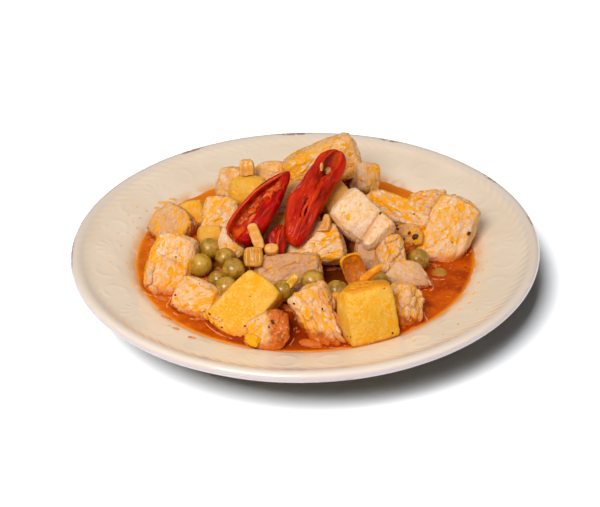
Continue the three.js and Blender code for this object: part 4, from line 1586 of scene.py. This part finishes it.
# %% Lay the loose scraps
CARROT_SLICES = [(361, 284.5, 9.6, 5.6, 1.0, 6), (354, 288, 4.0, 2.4, 0.9, -20)]
slices = lay("carrot_slices", "carrot", carrot_material, CARROT_SLICES, "rim", ragged=0.16, square=0.85)
paint(slices, "grain", points_of(slices))
paint(slices, "lemon", 0)
paint(slices, "brown", 0)
PEA_SCRAP = [(366, 189, 3.6, 2.6, 2.2, 20, 0.6)]
lay("pea_scrap", "pea", pea_material, PEA_SCRAP, "tone")
POTATO_CRUMBS = [
    (206, 316, 3.0, 2.2, 1.4, -60),
    (212, 320, 2.6, 1.8, 1.2, -30),
    (203, 310, 1.8, 1.4, 1.0, 20),
    (253, 340, 6.2, 5.0, 3.4, -20),
]
potato_crumbs = lay("potato_crumbs", "potato", potato_material, POTATO_CRUMBS, "shade", ragged=0.4)
paint(potato_crumbs, "oily", np.repeat([0.1, 0.1, 0.1, 2.5], len(BALL)))
paint(potato_crumbs, "glazed", 0)
print("carrot slices:", len(CARROT_SLICES), "potato crumbs:", len(POTATO_CRUMBS))

# %% Fill the chilies
seed_tones = (236, 176, 92), (206, 124, 56)
seed_material = mottled_finish("chili seed", 1.2, *seed_tones, (0.3, 0.45), 0.1, specular_ior_level=0.4)
pith_tones = (222, 96, 14), (188, 44, 8)
pith_material = mottled_finish("chili pith", 1.6, *pith_tones, (0.2, 0.35), 0.2, specular_ior_level=0.25)
SEEDS = [(321, 167, 4.0, 2.0, 1.1, 80), (327.5, 171, 3.6, 3.0, 1.2, 60)]
lay("chili_seeds", "chili", seed_material, SEEDS, ragged=0.08, sunk=0.2, square=1.0)
PITH = [
    (279, 185, 3.4, 2.0, 1.8, 50),
    (275, 189, 4.0, 2.6, 2.2, 30),
    (270, 193, 4.6, 3.2, 2.6, 70),
    (266, 197, 4.4, 2.8, 2.2, 40),
    (261, 201, 3.8, 2.4, 2.0, 60),
    (257, 206, 4.2, 2.4, 2.0, 40),
    (252, 211, 4.4, 3.2, 2.6, 20),
    (247, 216, 3.6, 2.6, 2.0, 60),
    (242, 220, 4.6, 3.4, 2.0, 40),
]
lay("chili_pith", "chili", pith_material, PITH, ragged=0.6, sunk=0.55)
print("seeds:", len(SEEDS), "pith:", len(PITH))

# %% Splash the rim
splash_material = mottled_finish("splashed oil", 1.6, (250, 200, 110), (246, 168, 50), (0.08, 0.2))
SPLASHES = [
    (473, 294, 4.4, 1.1, 0.4, 38),
    (469, 303, 1.6, 0.9, 0.3, 35),
    (478, 283, 1.7, 0.9, 0.3, 60),
    (483, 270, 1.3, 0.8, 0.3, 70),
    (487, 262, 1.1, 0.7, 0.3, 80),
    (481, 252, 1.3, 0.8, 0.3, 75),
    (165, 203, 8.0, 2.2, 0.4, 14),
    (173, 199, 4.0, 1.5, 0.4, 8),
    (157, 208, 3.4, 1.5, 0.4, 22),
    (137, 207, 1.6, 1.0, 0.3, 30),
    (128, 215, 1.7, 1.0, 0.3, 20),
    (118, 233, 1.3, 0.8, 0.3, 10),
    (133, 237, 1.1, 0.7, 0.3, 0),
    (110, 262, 1.3, 0.8, 0.3, 0),
    (131, 285, 1.1, 0.7, 0.3, -20),
    (126, 263, 1.5, 0.9, 0.3, 0),
    (133, 222, 1.0, 0.8, 0.25, 0),
    (137, 228, 1.2, 0.8, 0.25, 40),
    (128, 233, 0.9, 0.7, 0.25, 0),
    (134, 248, 1.1, 0.8, 0.25, 70),
    (130, 254, 0.8, 0.7, 0.25, 0),
    (133, 262, 1.0, 0.7, 0.25, 0),
    (129, 271, 1.2, 0.8, 0.25, 10),
    (124, 281, 1.2, 0.7, 0.25, 0),
    (137, 284, 0.9, 0.7, 0.25, 0),
    (121, 246, 0.9, 0.7, 0.25, 0),
    (140, 218, 1.6, 0.9, 0.25, 30),
    (146, 211, 2.0, 1.0, 0.25, 20),
]
# Stray ones lie just outside the edge of the liquor, which is about an oval in the picture.
STRAY = 18
SHORE_MIDDLE = (307, 266)
SHORE_REACH = (168, 86)
draw = np.random.default_rng(79)
for _ in range(STRAY):
    around, out = draw.uniform(0, 2 * np.pi), 1 + 0.04 + 0.14 * draw.uniform() ** 2
    size = draw.uniform(0.5, 1.2)
    across = SHORE_MIDDLE[0] + SHORE_REACH[0] * out * math.cos(around)
    spot = (across, SHORE_MIDDLE[1] - SHORE_REACH[1] * out * math.sin(around))
    SPLASHES.append((*spot, size * 1.4, size, 0.25, draw.uniform(0, 180)))
lay("oil_splashes", "sauce", splash_material, SPLASHES, ragged=0.3, sunk=0.45, square=1.0)
print("splashes:", len(SPLASHES))

# %% [markdown]
# ## Floor and light
# The light is a studio's: a broad lamp high on the left, a weaker one on the right, and a dim surround with
# a bright ceiling. The table has to come out white while the plate's shadow on it stays deep, so it is a
# mid grey with a strong lamp of its own, which light linking keeps off the food.

# %% Set the table
scene.view_settings.view_transform = "Standard"
scene.view_settings.look = "None"

TABLE = 1500
corners = [(-TABLE, -TABLE, 0), (TABLE, -TABLE, 0), (TABLE, TABLE, 0), (-TABLE, TABLE, 0)]
floor = new_thing("floor", corners, [[0, 1, 2, 3]])
floor_material, floor_tree, floor_shader = finish_of("grey table")
connect(floor_tree, floor_shader, base_color=colour(105, 106, 107), roughness=0.95)
floor.data.materials.append(floor_material)
print("table:", [round(v) for v in floor.dimensions / MM], "mm")

# %% Surround it with light
scene.world = bpy.data.worlds.new("studio")
scene.world.use_nodes = True
sky_tree = scene.world.node_tree
surround = sky_tree.nodes["Background"]
surround.inputs["Color"].default_value = (1.0, 0.985, 0.97, 1)
# Wet things mirror little of a surround that is dim below its ceiling, and keep their colour.
direction = wire(sky_tree, "ShaderNodeTexCoord").outputs["Generated"]
upward = wire(sky_tree, "ShaderNodeSeparateXYZ", {"Vector": direction}).outputs["Z"]
sky_tree.links.new(spread(sky_tree, upward, 0.55, 0.85, 0.2, 0.5), surround.inputs["Strength"])
print("surround:", scene.world.name)

# %% Hang the lamps


def lamp(name, bearing, height, distance, size, power):
    """A square lamp that looks at the plate, from that bearing off the front and that height, in degrees."""
    light = bpy.data.lights.new(name, "AREA")
    light.size = size * MM
    light.energy = power
    thing = put(name, light)
    around, above = math.radians(bearing), math.radians(height)
    way = Vector((math.sin(around) * math.cos(above), -math.cos(around) * math.cos(above), math.sin(above)))
    thing.location = way * distance * MM
    thing.rotation_mode = "QUATERNION"
    thing.rotation_quaternion = way.to_track_quat("Z", "Y")
    return thing


lamp("key", -28, 50, 800, 340, 4.45)
lamp("fill", 60, 40, 800, 500, 0.7)

table_lamp = lamp("table lamp", -29, 52, 2600, 1075, 700)
table_only = bpy.data.collections.new("table only")
table_only.objects.link(floor)
table_lamp.light_linking.receiver_collection = table_only
print("lamps:", [light.name for light in bpy.data.lights])
